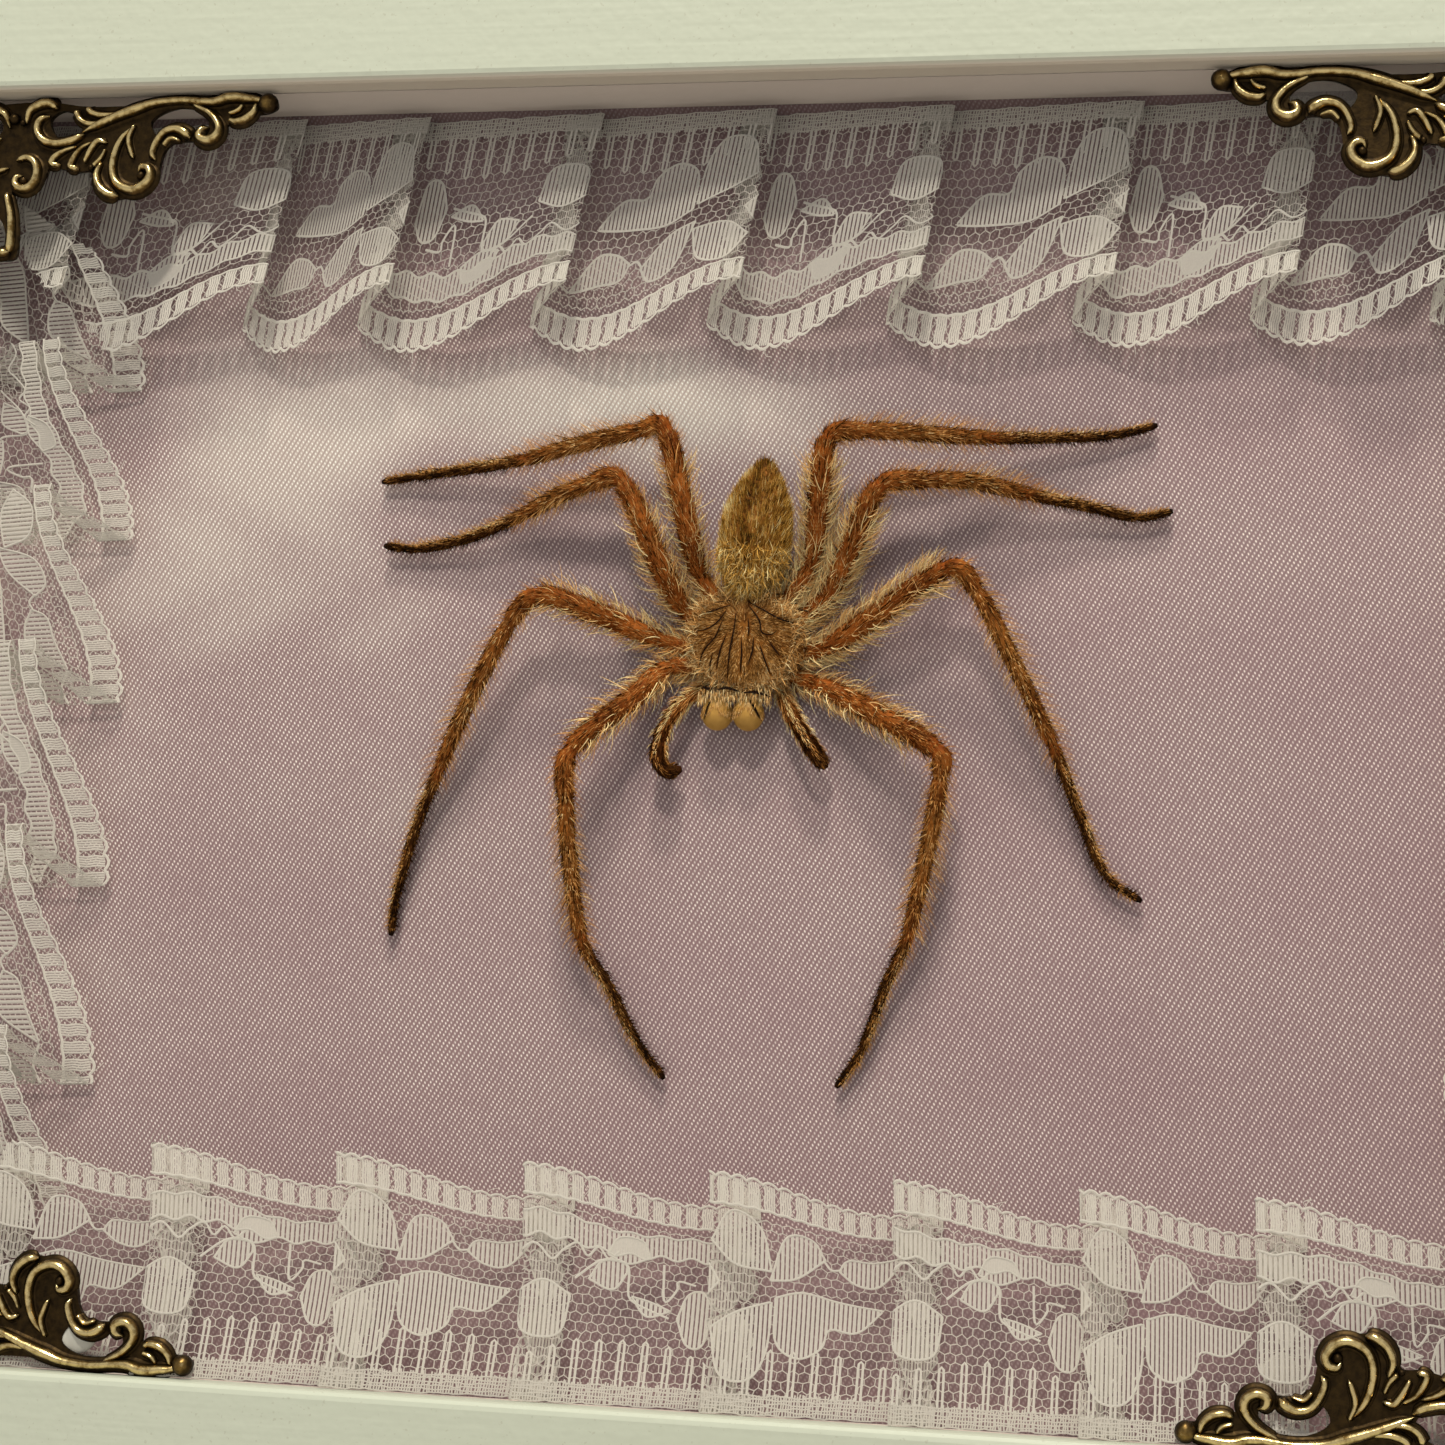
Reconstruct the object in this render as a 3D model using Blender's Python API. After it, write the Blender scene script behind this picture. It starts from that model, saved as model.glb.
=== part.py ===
# Framed huntsman spider: a white shadow box frame with a satin ground, a pleated lace ruffle along
# its four inner walls, four bronze filigree corners and a dried huntsman spider mounted head down.
# Design values are in millimetres. The frame stands on its bottom rail: +X is right, +Z is up and
# the glass faces -Y. Depth is counted from the front face of the rails towards the back.

import math

import bmesh
import bpy
import numpy as np
from mathutils import Vector
from mathutils.geometry import tessellate_polygon

# Driving dimensions of the frame
MM = 0.001
GAP = 0.3
SIGHT_WIDTH = 170.0
SIGHT_HEIGHT = 119.5
RAIL_FACE = 16.0
FRAME_DEPTH = 28.0
LIP_DEPTH = 3.0
REBATE = 4.3
INNER_ARRIS = 0.8
OUTER_ARRIS = 1.4
BACK_ARRIS = 0.6

# Pack of sheets behind the lip, front to back
GLASS_THICK = 1.6
SPACER_SET_BACK = 0.7
SATIN_FACE = 12.0
SATIN_THICK = 0.3
BOARD_THICK = 2.5
PANEL_THICK = 2.5

# Glazier points: place along the rail, counted from the rail's middle
POINT_LENGTH = 11.0
POINT_WIDTH = 7.0
POINT_THICK = 0.5
POINT_IN_RAIL = 2.7
POINTS_ON_RAIL = {"top": (-45.0, 45.0), "bottom": (-45.0, 45.0), "left": (0.0,), "right": (0.0,)}

# Sawtooth hanger on the back panel
HANGER_HALF_LENGTH = 22.0
HANGER_HEIGHT = 8.0
HANGER_THICK = 0.7
HANGER_TEETH_HALF = 14.0
HANGER_TOOTH = 1.6
HANGER_RISE = 1.6
HANGER_DROP = 22.0
NAIL_AT = 19.5
NAIL_RADIUS = 1.6
NAIL_HEIGHT = 0.9

# Filigree corners on the glass
CORNER_THICK = 1.8

# Lace ruffle: one knife pleat is a long slope up from the satin and a short return under it. Its
# free edge is scalloped, so it reaches further in at one end of a pleat than at the other.
LACE_THICK = 0.36
PLEAT_PITCH = 16.8
PLEAT_OVERLAP = 4.0
PLEAT_LOW = 0.75
PLEAT_RISE = 5.2
HEADER_SHARE = 0.4
LACE_END_CLEAR = 0.6
# Start of the header in from the sight edge, then the reach at the low and the raised end of a pleat
LACE_REACH = {
    "top": (0.4, 23.3, 18.8),
    "bottom": (0.4, 17.8, 20.4),
    "left": (3.6, 25.6, 21.6),
    "right": (0.4, 19.6, 18.2),
}

# Spider: places are across and up from the middle of the sight opening, then height above the satin
BODY_TILT = 5.9
CARAPACE_AT = (2.45, 8.7)
CARAPACE_HALF_WIDTH = 5.5
CARAPACE_HALF_LENGTH = 4.75
COXA_CIRCLE = 3.65
COXA_HEIGHT = 1.1
ABDOMEN_FRONT = (2.55, 13.75)
ABDOMEN_REAR = (3.65, 25.9)
ABDOMEN_HALF_WIDTH = 4.05
ABDOMEN_HALF_HEIGHT = 2.6
ABDOMEN_HEIGHT = 2.95

SIGHT_MIDDLE_UP = RAIL_FACE + SIGHT_HEIGHT / 2
SIDES = ("top", "bottom", "left", "right")


def world(across, depth, up):
    """A design place, up counted from the middle of the sight opening, as a place in metres."""
    return Vector((across, depth - FRAME_DEPTH / 2, up + SIGHT_MIDDLE_UP)) * MM


def material(name, colour, roughness, metallic=0.0, alpha=1.0):
    """A Principled material with one colour."""
    made = bpy.data.materials.new(name)
    made.use_nodes = True
    shader = made.node_tree.nodes["Principled BSDF"]
    shader.inputs["Base Color"].default_value = (*colour, 1.0)
    shader.inputs["Roughness"].default_value = roughness
    shader.inputs["Metallic"].default_value = metallic
    shader.inputs["Alpha"].default_value = alpha
    return made


def white_paint():
    return material("white_paint", (0.72, 0.70, 0.58), 0.45)


def clear_glass():
    return material("clear_glass", (0.9, 0.93, 0.92), 0.03, alpha=0.25)


def mauve_satin():
    return material("mauve_satin", (0.45, 0.30, 0.29), 0.35)


def card():
    return material("card", (0.70, 0.68, 0.62), 0.9)


def brown_hardboard():
    return material("brown_hardboard", (0.25, 0.15, 0.09), 0.8)


def zinc_steel():
    return material("zinc_steel", (0.55, 0.55, 0.55), 0.35, metallic=1.0)


def antique_bronze():
    return material("antique_bronze", (0.28, 0.19, 0.09), 0.35, metallic=1.0)


def white_lace():
    return material("white_lace", (0.62, 0.56, 0.46), 0.8)


def carapace_brown():
    return material("carapace_brown", (0.22, 0.11, 0.05), 0.8)


def abdomen_brown():
    return material("abdomen_brown", (0.24, 0.14, 0.05), 0.85)


def leg_brown():
    return material("leg_brown", (0.23, 0.08, 0.03), 0.75)


def palp_brown():
    return material("palp_brown", (0.20, 0.11, 0.05), 0.75)


def chelicera_gold():
    return material("chelicera_gold", (0.42, 0.22, 0.07), 0.6)


def add_object(name, points, faces, finish, smooth=False):
    """Puts a closed mesh, in metres, in the scene under the node's name, its faces turned out."""
    mesh = bpy.data.meshes.new(name)
    mesh.from_pydata([tuple(p) for p in points], [], [tuple(f) for f in faces])
    shell = bmesh.new()
    shell.from_mesh(mesh)
    bmesh.ops.recalc_face_normals(shell, faces=shell.faces)
    shell.to_mesh(mesh)
    shell.free()
    mesh.materials.append(finish)
    if smooth:
        mesh.shade_smooth()
        mesh.set_sharp_from_angle(angle=math.radians(50))
    made = bpy.data.objects.new(name, mesh)
    bpy.context.collection.objects.link(made)
    return made


def add_loft(name, rings, finish, start=None, end=None, smooth=True):
    """Joins equal rings of points into one skin. An end without a pole is closed by one flat face."""
    count = len(rings[0])
    points = [p for ring in rings for p in ring]
    faces = []
    for row in range(len(rings) - 1):
        for i in range(count):
            j = (i + 1) % count
            low, high = row * count, (row + 1) * count
            faces.append((low + i, low + j, high + j, high + i))
    for pole, base in ((start, 0), (end, (len(rings) - 1) * count)):
        ring = [base + i for i in range(count)]
        if pole is None:
            faces.append(ring)
        else:
            points.append(pole)
            faces += [(ring[i], ring[(i + 1) % count], len(points) - 1) for i in range(count)]
    return add_object(name, points, faces, finish, smooth)


def add_slab(name, low, high, finish):
    """A plain block between two design corners."""
    corners = [(x, z) for x, z in ((low[0], low[2]), (high[0], low[2]), (high[0], high[2]), (low[0], high[2]))]
    rings = [[world(x, depth, z) for x, z in corners] for depth in (low[1], high[1])]
    return add_loft(name, rings, finish, smooth=False)


def side_place(side, along, outward, depth):
    """A place on one side: along it from its middle, and outward from the edge of the sight opening."""
    if side == "top":
        return world(along, depth, SIGHT_HEIGHT / 2 + outward)
    if side == "bottom":
        return world(-along, depth, -SIGHT_HEIGHT / 2 - outward)
    if side == "left":
        return world(-SIGHT_WIDTH / 2 - outward, depth, along)
    return world(SIGHT_WIDTH / 2 + outward, depth, -along)


def side_length(side):
    return SIGHT_WIDTH if side in ("top", "bottom") else SIGHT_HEIGHT


def arc(centre, radius, first, last, steps):
    """Points of an arc as (outward, depth), its angles in degrees."""
    angles = [math.radians(first + (last - first) * i / steps) for i in range(steps + 1)]
    return [(centre[0] + radius * math.cos(t), centre[1] + radius * math.sin(t)) for t in angles]


def rail_section():
    """The L section of a rail as (outward, depth): a lip in front and a rebate behind it."""
    section = [(REBATE, LIP_DEPTH), (0.0, LIP_DEPTH)]
    section += arc((INNER_ARRIS, INNER_ARRIS), INNER_ARRIS, 180, 270, 3)
    section += arc((RAIL_FACE - OUTER_ARRIS, OUTER_ARRIS), OUTER_ARRIS, 270, 360, 3)
    section += arc((RAIL_FACE - BACK_ARRIS, FRAME_DEPTH - BACK_ARRIS), BACK_ARRIS, 0, 90, 1)
    section += [(REBATE, FRAME_DEPTH)]
    return section


def panel_back():
    """Depth of the back face of the back panel."""
    return SATIN_FACE + SATIN_THICK + BOARD_THICK + PANEL_THICK + 2 * GAP


def cut_point_slots(rail, side):
    """Cuts the narrow slots that the glazier points are pushed into."""
    half = POINT_WIDTH / 2 + GAP
    for number, along in enumerate(POINTS_ON_RAIL[side]):
        depths = (panel_back(), panel_back() + 2 * GAP + POINT_THICK)
        reach = (REBATE - 1.0, REBATE + POINT_IN_RAIL + GAP)
        rings = [
            [side_place(side, a, o, d) for a, o in
             ((along - half, reach[0]), (along + half, reach[0]), (along + half, reach[1]), (along - half, reach[1]))]
            for d in depths
        ]
        cutter = add_loft(f"slot_{side}_{number}", rings, rail.data.materials[0], smooth=False)
        cutter.hide_render = True
        cutter.display_type = "WIRE"
        cut = rail.modifiers.new(f"slot_{number}", "BOOLEAN")
        cut.operation = "DIFFERENCE"
        cut.solver = "EXACT"
        cut.object = cutter


def add_rails():
    """Four mitred rails. Each mitre face stands half a gap back from the true diagonal."""
    finish = white_paint()
    back_off = GAP * math.sqrt(2) / 2
    for side in SIDES:
        half = side_length(side) / 2 - back_off
        rings = [
            [side_place(side, sign * (half + outward), outward, depth) for outward, depth in rail_section()]
            for sign in (-1, 1)
        ]
        rail = add_loft(f"{side}_rail", rings, finish, smooth=False)
        cut_point_slots(rail, side)


def add_sheet_pack():
    """Glass, satin lining, backing board and back panel, all cut to the rebate less one gap."""
    half_width = SIGHT_WIDTH / 2 + REBATE - GAP
    half_height = SIGHT_HEIGHT / 2 + REBATE - GAP
    board_face = SATIN_FACE + SATIN_THICK + GAP
    panel_face = board_face + BOARD_THICK + GAP
    layers = (
        ("glass_pane", LIP_DEPTH + GAP, GLASS_THICK, clear_glass()),
        ("satin_lining", SATIN_FACE, SATIN_THICK, mauve_satin()),
        ("backing_board", board_face, BOARD_THICK, card()),
        ("back_panel", panel_face, PANEL_THICK, brown_hardboard()),
    )
    for name, face, thick, finish in layers:
        add_slab(name, (-half_width, face, -half_height), (half_width, face + thick, half_height), finish)


def add_spacers():
    """Strips between the glass and the satin. The upright ones fit between the long ones."""
    finish = white_paint()
    face = LIP_DEPTH + GLASS_THICK + 2 * GAP
    outer = REBATE - GAP
    for side in SIDES:
        half = side_length(side) / 2 + (outer if side in ("top", "bottom") else SPACER_SET_BACK - GAP)
        corners = ((-half, SPACER_SET_BACK), (half, SPACER_SET_BACK), (half, outer), (-half, outer))
        rings = [[side_place(side, a, o, d) for a, o in corners] for d in (face, SATIN_FACE - GAP)]
        add_loft(f"{side}_spacer", rings, finish, smooth=False)


def add_glazier_points():
    """Flat metal tabs that lie on the back panel and run into the slots of the rails."""
    finish = zinc_steel()
    half = POINT_WIDTH / 2
    outer = REBATE + POINT_IN_RAIL
    face = panel_back() + GAP
    for side in SIDES:
        for number, along in enumerate(POINTS_ON_RAIL[side]):
            corners = (
                (along - half, outer),
                (along + half, outer),
                (along + half, outer - POINT_LENGTH + 2.0),
                (along, outer - POINT_LENGTH),
                (along - half, outer - POINT_LENGTH + 2.0),
            )
            rings = [[side_place(side, a, o, d) for a, o in corners] for d in (face, face + POINT_THICK)]
            add_loft(f"glazier_point_{side}_{number + 1}", rings, finish, smooth=False)


def hanger_rise(along):
    """How far the hanger stands off the panel: flat at its ends, raised between them."""
    ramp = (HANGER_TEETH_HALF + 3.0 - abs(along)) / 3.0
    return HANGER_RISE * min(max(ramp, 0.0), 1.0)


def add_hanger():
    """Sawtooth hanger: a bent strip with teeth under its middle, and the two nails that hold it."""
    finish = zinc_steel()
    face = panel_back() + GAP
    top = SIGHT_HEIGHT / 2 - HANGER_DROP
    rings = []
    steps = 22
    for i in range(steps + 1):
        along = HANGER_HALF_LENGTH * (2 * i / steps - 1)
        tooth = HANGER_TOOTH if abs(along) <= HANGER_TEETH_HALF and i % 2 else 0.0
        bottom = top - HANGER_HEIGHT + tooth
        near = face + hanger_rise(along)
        far = near + HANGER_THICK
        rings.append([world(along, near, top), world(along, far, top), world(along, far, bottom),
                      world(along, near, bottom)])
    add_loft("sawtooth_hanger", rings, finish, smooth=False)
    middle = top - HANGER_HEIGHT / 2
    for name, sign in (("left", -1), ("right", 1)):
        base = face + HANGER_THICK + GAP
        rings = []
        for share, rise in ((1.0, 0.0), (0.85, 0.5), (0.45, 0.85)):
            angles = [2 * math.pi * k / 10 for k in range(10)]
            rings.append([
                world(sign * NAIL_AT + NAIL_RADIUS * share * math.cos(t), base + NAIL_HEIGHT * rise,
                      middle + NAIL_RADIUS * share * math.sin(t))
                for t in angles
            ])
        crown = world(sign * NAIL_AT, base + NAIL_HEIGHT, middle)
        add_loft(f"hanger_nail_{name}", rings, finish, end=crown)


def corner_outline():
    """Half outline of a filigree corner as (along one arm, in from its edge), corner to diagonal.
    The arm ends in a ball; behind it come a small leaf, a curl, an S scroll, the big hanging lobe,
    three leaf tips, a second curl and the drop that points along the diagonal."""
    outer = [(0.6, 0.6), (6.0, 0.5), (12.0, 0.6), (17.8, 0.4), (22.5, 1.0), (29.0, 0.9), (34.0, 0.4), (37.0, 0.4),
             (38.6, 0.9)]
    ball = [(40.6 + 1.15 * math.cos(t), 1.6 + 1.15 * math.sin(t)) for t in np.radians((-100, -40, 20, 80, 130))]
    inner = [(38.9, 2.9), (37.6, 3.4), (36.4, 3.3), (36.3, 4.5), (35.2, 5.3), (33.8, 4.9), (32.6, 4.7), (31.0, 4.9),
             (30.3, 5.7), (30.2, 7.0), (29.9, 8.6), (28.6, 9.9), (26.8, 10.1), (24.9, 9.8), (23.6, 8.5), (22.9, 7.2),
             (21.3, 7.4), (18.9, 6.7), (18.3, 7.6), (17.4, 9.1), (16.2, 9.4), (15.0, 9.0), (15.6, 11.0), (16.1, 13.4),
             (15.8, 15.8)]
    return outer + ball + inner


def corner_holes():
    """The pierced openings: two in each arm, and the drop on the diagonal."""
    long_drop = [(28.7, 2.7), (30.2, 1.8), (32.6, 1.5), (34.3, 2.4), (34.4, 3.5), (32.9, 3.3), (31.2, 3.6), (29.6, 4.3)]
    short_round = [(18.6, 2.2), (20.2, 1.5), (21.8, 2.4), (21.0, 3.6), (19.4, 3.7)]
    first_round = [(7.6, 2.6), (10.0, 1.6), (12.4, 2.0), (13.6, 3.2), (12.2, 4.6), (9.6, 4.4)]
    diagonal = [(10.2, 10.2), (12.2, 10.8), (13.9, 12.4), (14.3, 14.3), (12.4, 13.9), (10.8, 12.2)]
    arm = [long_drop, short_round, first_round]
    other_arm = [[(b, a) for a, b in reversed(hole)] for hole in arm]
    return arm + other_arm + [diagonal]


def add_filigree_corners():
    """One casting in each corner of the sight opening, lying on the glass."""
    finish = antique_bronze()
    half = corner_outline()
    other = [(b, a) for a, b in reversed(half[1:-1])]
    loops = [half + other] + corner_holes()
    flat = [[Vector((a, b, 0.0)) for a, b in loop] for loop in loops]
    caps = tessellate_polygon(flat)
    places = [p for loop in loops for p in loop]
    count = len(places)
    depths = (LIP_DEPTH - CORNER_THICK, LIP_DEPTH)
    faces = [tuple(f) for f in caps] + [tuple(i + count for i in reversed(f)) for f in caps]
    start = 0
    for loop in loops:
        for i in range(len(loop)):
            j = (i + 1) % len(loop)
            faces.append((start + i, start + j, start + j + count, start + i + count))
        start += len(loop)
    for upright, up in (("top", 1), ("bottom", -1)):
        for sideways, right in (("left", -1), ("right", 1)):
            points = [
                world(right * (SIGHT_WIDTH / 2 - a), depth, up * (SIGHT_HEIGHT / 2 - b))
                for depth in depths for a, b in places
            ]
            add_object(f"filigree_corner_{upright}_{sideways}", points, faces, finish)


def pleat_path(first, last, share):
    """The folded line of a ruffle as (along, height), and how far each point is up its pleat, 0 to 1.
    Each pleat climbs from the satin over one pitch and the overlap, then returns under itself."""
    count = round((last - first - PLEAT_OVERLAP) / PLEAT_PITCH)
    pitch = (last - first - PLEAT_OVERLAP) / count
    path = []
    climb = []
    for k in range(count):
        for part in (0.0, 0.5, 1.0):
            path.append((first + k * pitch + part * (pitch + PLEAT_OVERLAP), PLEAT_LOW + part * share * PLEAT_RISE))
            climb.append(part)
    return path, np.array(climb)


def thicken(path, thick):
    """A closed outline that runs along both sides of a folded line, with mitred corners."""
    line = np.array(path)
    steps = np.diff(line, axis=0)
    normals = np.column_stack((-steps[:, 1], steps[:, 0])) / np.linalg.norm(steps, axis=1)[:, None]
    before = np.vstack((normals[:1], normals))
    after = np.vstack((normals, normals[-1:]))
    mitre = before + after
    mitre /= (mitre * before).sum(axis=1)[:, None]
    upper = line + mitre * thick / 2
    lower = line - mitre * thick / 2
    return np.vstack((upper, lower[::-1]))


def lace_ends(side):
    """Where a strip starts and ends along its side: the upright strips fit between the long ones."""
    half = side_length(side) / 2 - LACE_END_CLEAR
    if side in ("top", "bottom"):
        return -half, half
    above = half - max(LACE_REACH["top"])
    below = half - max(LACE_REACH["bottom"])
    return (-below, above) if side == "left" else (-above, below)


def add_lace_ruffles():
    """One pleated strip along each wall, flatter at its header than at its free edge."""
    finish = white_lace()
    rows = ((0.0, HEADER_SHARE), (0.45, 0.75), (1.0, 1.0))
    for side in SIDES:
        header, low_reach, high_reach = LACE_REACH[side]
        rings = []
        for share, rise in rows:
            path, climb = pleat_path(*lace_ends(side), rise)
            reach = low_reach + (high_reach - low_reach) * np.concatenate((climb, climb[::-1]))
            inward = header + share * (reach - header)
            outline = thicken(path, LACE_THICK)
            rings.append([side_place(side, a, -i, SATIN_FACE - h) for (a, h), i in zip(outline, inward)])
        add_loft(f"lace_{side}", rings, finish, smooth=False)


def smooth_line(points, steps):
    """Catmull-Rom curve through rows of numbers, with a number of steps between each two."""
    rows = np.array(points, dtype=float)
    padded = np.vstack((2 * rows[0] - rows[1], rows, 2 * rows[-1] - rows[-2]))
    line = []
    for k in range(1, len(padded) - 2):
        a, b, c, d = padded[k - 1:k + 3]
        for t in np.arange(steps) / steps:
            line.append(0.5 * (2 * b + (c - a) * t + (2 * a - 5 * b + 4 * c - d) * t ** 2
                               + (3 * b - a - 3 * c + d) * t ** 3))
    line.append(rows[-1])
    return np.array(line)


def add_limb(name, stations, finish, steps, sides):
    """A jointed limb. Each station is (across, up, height, half width, half thickness)."""
    line = smooth_line(stations, steps)
    middle = np.column_stack((line[:, 0], SATIN_FACE - line[:, 2], line[:, 1]))
    run = np.gradient(middle, axis=0)
    run /= np.linalg.norm(run, axis=1)[:, None]
    sideways = np.cross(run, (0.0, 1.0, 0.0))
    sideways /= np.linalg.norm(sideways, axis=1)[:, None]
    upright = np.cross(sideways, run)
    rings = []
    for i in range(len(line)):
        ring = []
        for k in range(sides):
            turn = 2 * math.pi * k / sides
            place = (middle[i] + sideways[i] * line[i, 3] * math.cos(turn)
                     + upright[i] * line[i, 4] * math.sin(turn))
            ring.append(world(*place))
        rings.append(ring)
    return add_loft(name, rings, finish)


# Legs, from where each leaves the body to its tip: (across, up, height). The stations are the
# trochanter, middle and end of the femur, end of the patella, middle and end of the tibia, middle
# and end of the metatarsus, and the tip of the tarsus. The spider is head down with its back to
# the glass, so its right legs are on the left. The first value is the coxa's bearing in degrees,
# from straight out towards the rear.
LEGS = {
    "leg_right_1": (-38, [(-5.0, 6.5, 1.3), (-7.6, 3.5, 3.0), (-12.9, -1.8, 5.0), (-13.1, -6.5, 4.8),
                          (-12.7, -11.5, 4.1), (-11.4, -18.9, 3.0), (-9.0, -22.9, 2.0), (-6.2, -27.9, 1.1),
                          (-3.6, -31.1, 0.8)]),
    "leg_right_2": (-8, [(-5.8, 9.1, 1.3), (-12.1, 11.3, 4.2), (-16.9, 12.5, 4.9), (-19.6, 9.7, 4.5),
                         (-23.2, 3.0, 3.4), (-26.2, -3.7, 2.2), (-28.3, -8.9, 1.4), (-30.0, -15.4, 0.9),
                         (-30.3, -19.0, 0.8)]),
    "leg_right_3": (24, [(-3.7, 11.9, 1.3), (-5.7, 15.7, 3.8), (-9.4, 23.2, 4.9), (-12.5, 23.0, 4.6),
                         (-16.0, 22.0, 3.6), (-19.1, 20.7, 2.5), (-24.7, 18.6, 1.4), (-29.9, 17.6, 0.9),
                         (-33.2, 17.8, 1.1)]),
    "leg_right_4": (54, [(-2.4, 15.2, 1.4), (-3.4, 19.9, 4.0), (-5.5, 28.0, 5.0), (-8.1, 28.0, 4.8),
                         (-13.8, 27.0, 3.8), (-19.4, 25.8, 2.7), (-25.2, 25.1, 1.6), (-30.6, 24.5, 1.0),
                         (-33.9, 24.0, 0.8)]),
    "leg_left_1": (-38, [(8.9, 5.2, 1.3), (14.3, 2.6, 3.4), (20.7, -1.1, 5.0), (21.1, -3.5, 4.8),
                         (20.2, -9.3, 3.9), (18.4, -17.6, 2.6), (16.6, -21.7, 1.7), (14.4, -27.8, 1.0),
                         (12.2, -31.2, 0.8)]),
    "leg_left_2": (-8, [(9.3, 8.4, 1.3), (13.9, 10.8, 3.4), (21.0, 15.3, 4.9), (23.8, 13.3, 4.6),
                        (26.9, 7.6, 3.9), (30.8, -0.2, 2.4), (32.9, -5.3, 1.4), (35.6, -11.3, 0.9),
                        (38.9, -13.7, 0.8)]),
    "leg_left_3": (24, [(9.6, 13.4, 1.4), (12.3, 18.2, 3.6), (14.7, 22.9, 4.9), (19.2, 23.5, 4.5),
                        (23.0, 23.6, 3.5), (27.7, 22.7, 2.5), (32.9, 21.8, 1.4), (37.5, 20.9, 0.9),
                        (40.7, 21.5, 0.8)]),
    "leg_left_4": (54, [(7.9, 16.1, 1.5), (9.0, 22.0, 4.2), (9.8, 27.3, 5.0), (13.2, 28.0, 4.8),
                        (18.5, 27.9, 3.9), (24.3, 27.8, 2.7), (30.2, 28.1, 1.5), (34.9, 28.4, 1.0),
                        (39.1, 29.4, 0.8)]),
}
# Half width and half thickness at the coxa and then at each station, out to the tips of the hairs
LEG_SECTIONS = [(0.70, 0.68), (0.85, 0.75), (1.35, 1.05), (1.25, 1.00), (1.25, 0.95), (1.65, 0.90),
                (1.25, 0.75), (1.00, 0.60), (0.65, 0.42), (0.40, 0.35)]


def coxa_place(name, bearing):
    """Where a coxa meets the sternum, on a circle around the middle of the carapace."""
    out = -1.0 if "right" in name else 1.0
    turn = math.radians(bearing)
    return (CARAPACE_AT[0] + out * COXA_CIRCLE * math.cos(turn),
            CARAPACE_AT[1] + COXA_CIRCLE * math.sin(turn), COXA_HEIGHT)


def add_legs():
    finish = leg_brown()
    for name, (bearing, joints) in LEGS.items():
        places = [coxa_place(name, bearing)] + joints
        stations = [(*place, *section) for place, section in zip(places, LEG_SECTIONS)]
        add_limb(name, stations, finish, steps=2, sides=8)


def add_palps():
    """Two short palps beside the chelicerae: one hooked inward, one nearly straight."""
    finish = palp_brown()
    hooked = [(-0.9, 5.2, 1.2, 0.45, 0.45), (-3.3, 3.2, 1.8, 0.7, 0.65), (-4.8, 0.6, 2.5, 0.8, 0.7),
              (-5.2, -1.9, 2.6, 0.8, 0.7), (-4.4, -3.2, 2.2, 0.65, 0.6), (-3.1, -2.9, 1.9, 0.55, 0.5)]
    straight = [(5.5, 5.0, 1.2, 0.45, 0.45), (6.7, 2.6, 1.8, 0.7, 0.65), (7.8, 0.9, 2.3, 0.8, 0.7),
                (9.2, -1.1, 2.4, 0.85, 0.75), (10.3, -2.6, 2.0, 0.6, 0.55)]
    add_limb("palp_right", hooked, finish, steps=2, sides=8)
    add_limb("palp_left", straight, finish, steps=2, sides=8)


def body_place(centre, across, along, height):
    """A place on the body: across it and towards its rear from a centre, turned by the body's tilt."""
    turn = math.radians(BODY_TILT)
    return world(centre[0] + across * math.cos(turn) + along * math.sin(turn), SATIN_FACE - height,
                 centre[1] - across * math.sin(turn) + along * math.cos(turn))


def add_cephalothorax():
    """Sternum and carapace as one solid: the carapace is widest behind its middle and narrower at
    the head, and overhangs the sternum so that the coxae leave under its rim."""
    steps = 28
    rings = []
    sternum = ((0.35, 0.42), (0.6, 0.52), (2.3, 0.52))
    dome = ((2.35, 0.95), (3.0, 1.0), (3.7, 0.88), (4.25, 0.66), (4.6, 0.36))
    for height, share in sternum + dome:
        ring = []
        for k in range(steps):
            turn = 2 * math.pi * k / steps
            along = CARAPACE_HALF_LENGTH * math.sin(turn)
            narrow = 1.0 - 0.30 * max(-math.sin(turn), 0.0) ** 1.5 - 0.10 * max(math.sin(turn), 0.0) ** 3
            across = CARAPACE_HALF_WIDTH * math.cos(turn) * narrow
            if height < 2.32:
                across, along = 5.3 * math.cos(turn), 5.6 * math.sin(turn)
            ring.append(body_place(CARAPACE_AT, across * share, along * share, height))
        rings.append(ring)
    base = body_place(CARAPACE_AT, 0.0, 0.0, 0.33)
    crown = body_place(CARAPACE_AT, 0.0, 0.3, 4.7)
    add_loft("cephalothorax", rings, carapace_brown(), start=base, end=crown)


def add_abdomen():
    """Oval abdomen, blunt in front and drawn to a point at the rear."""
    steps = 20
    front, rear = np.array(ABDOMEN_FRONT), np.array(ABDOMEN_REAR)
    sizes = ((0.03, 0.30), (0.10, 0.60), (0.22, 0.85), (0.38, 0.98), (0.52, 1.0), (0.66, 0.92), (0.80, 0.70),
             (0.91, 0.42), (0.97, 0.18))
    rings = []
    for share, size in sizes:
        centre = tuple(front + (rear - front) * share)
        ring = []
        for k in range(steps):
            turn = 2 * math.pi * k / steps
            ring.append(body_place(centre, ABDOMEN_HALF_WIDTH * size * math.cos(turn), 0.0,
                                   ABDOMEN_HEIGHT + ABDOMEN_HALF_HEIGHT * size * math.sin(turn)))
        rings.append(ring)
    ends = [body_place(tuple(place), 0.0, 0.0, ABDOMEN_HEIGHT) for place in (front, rear)]
    add_loft("abdomen", rings, abdomen_brown(), start=ends[0], end=ends[1])


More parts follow.
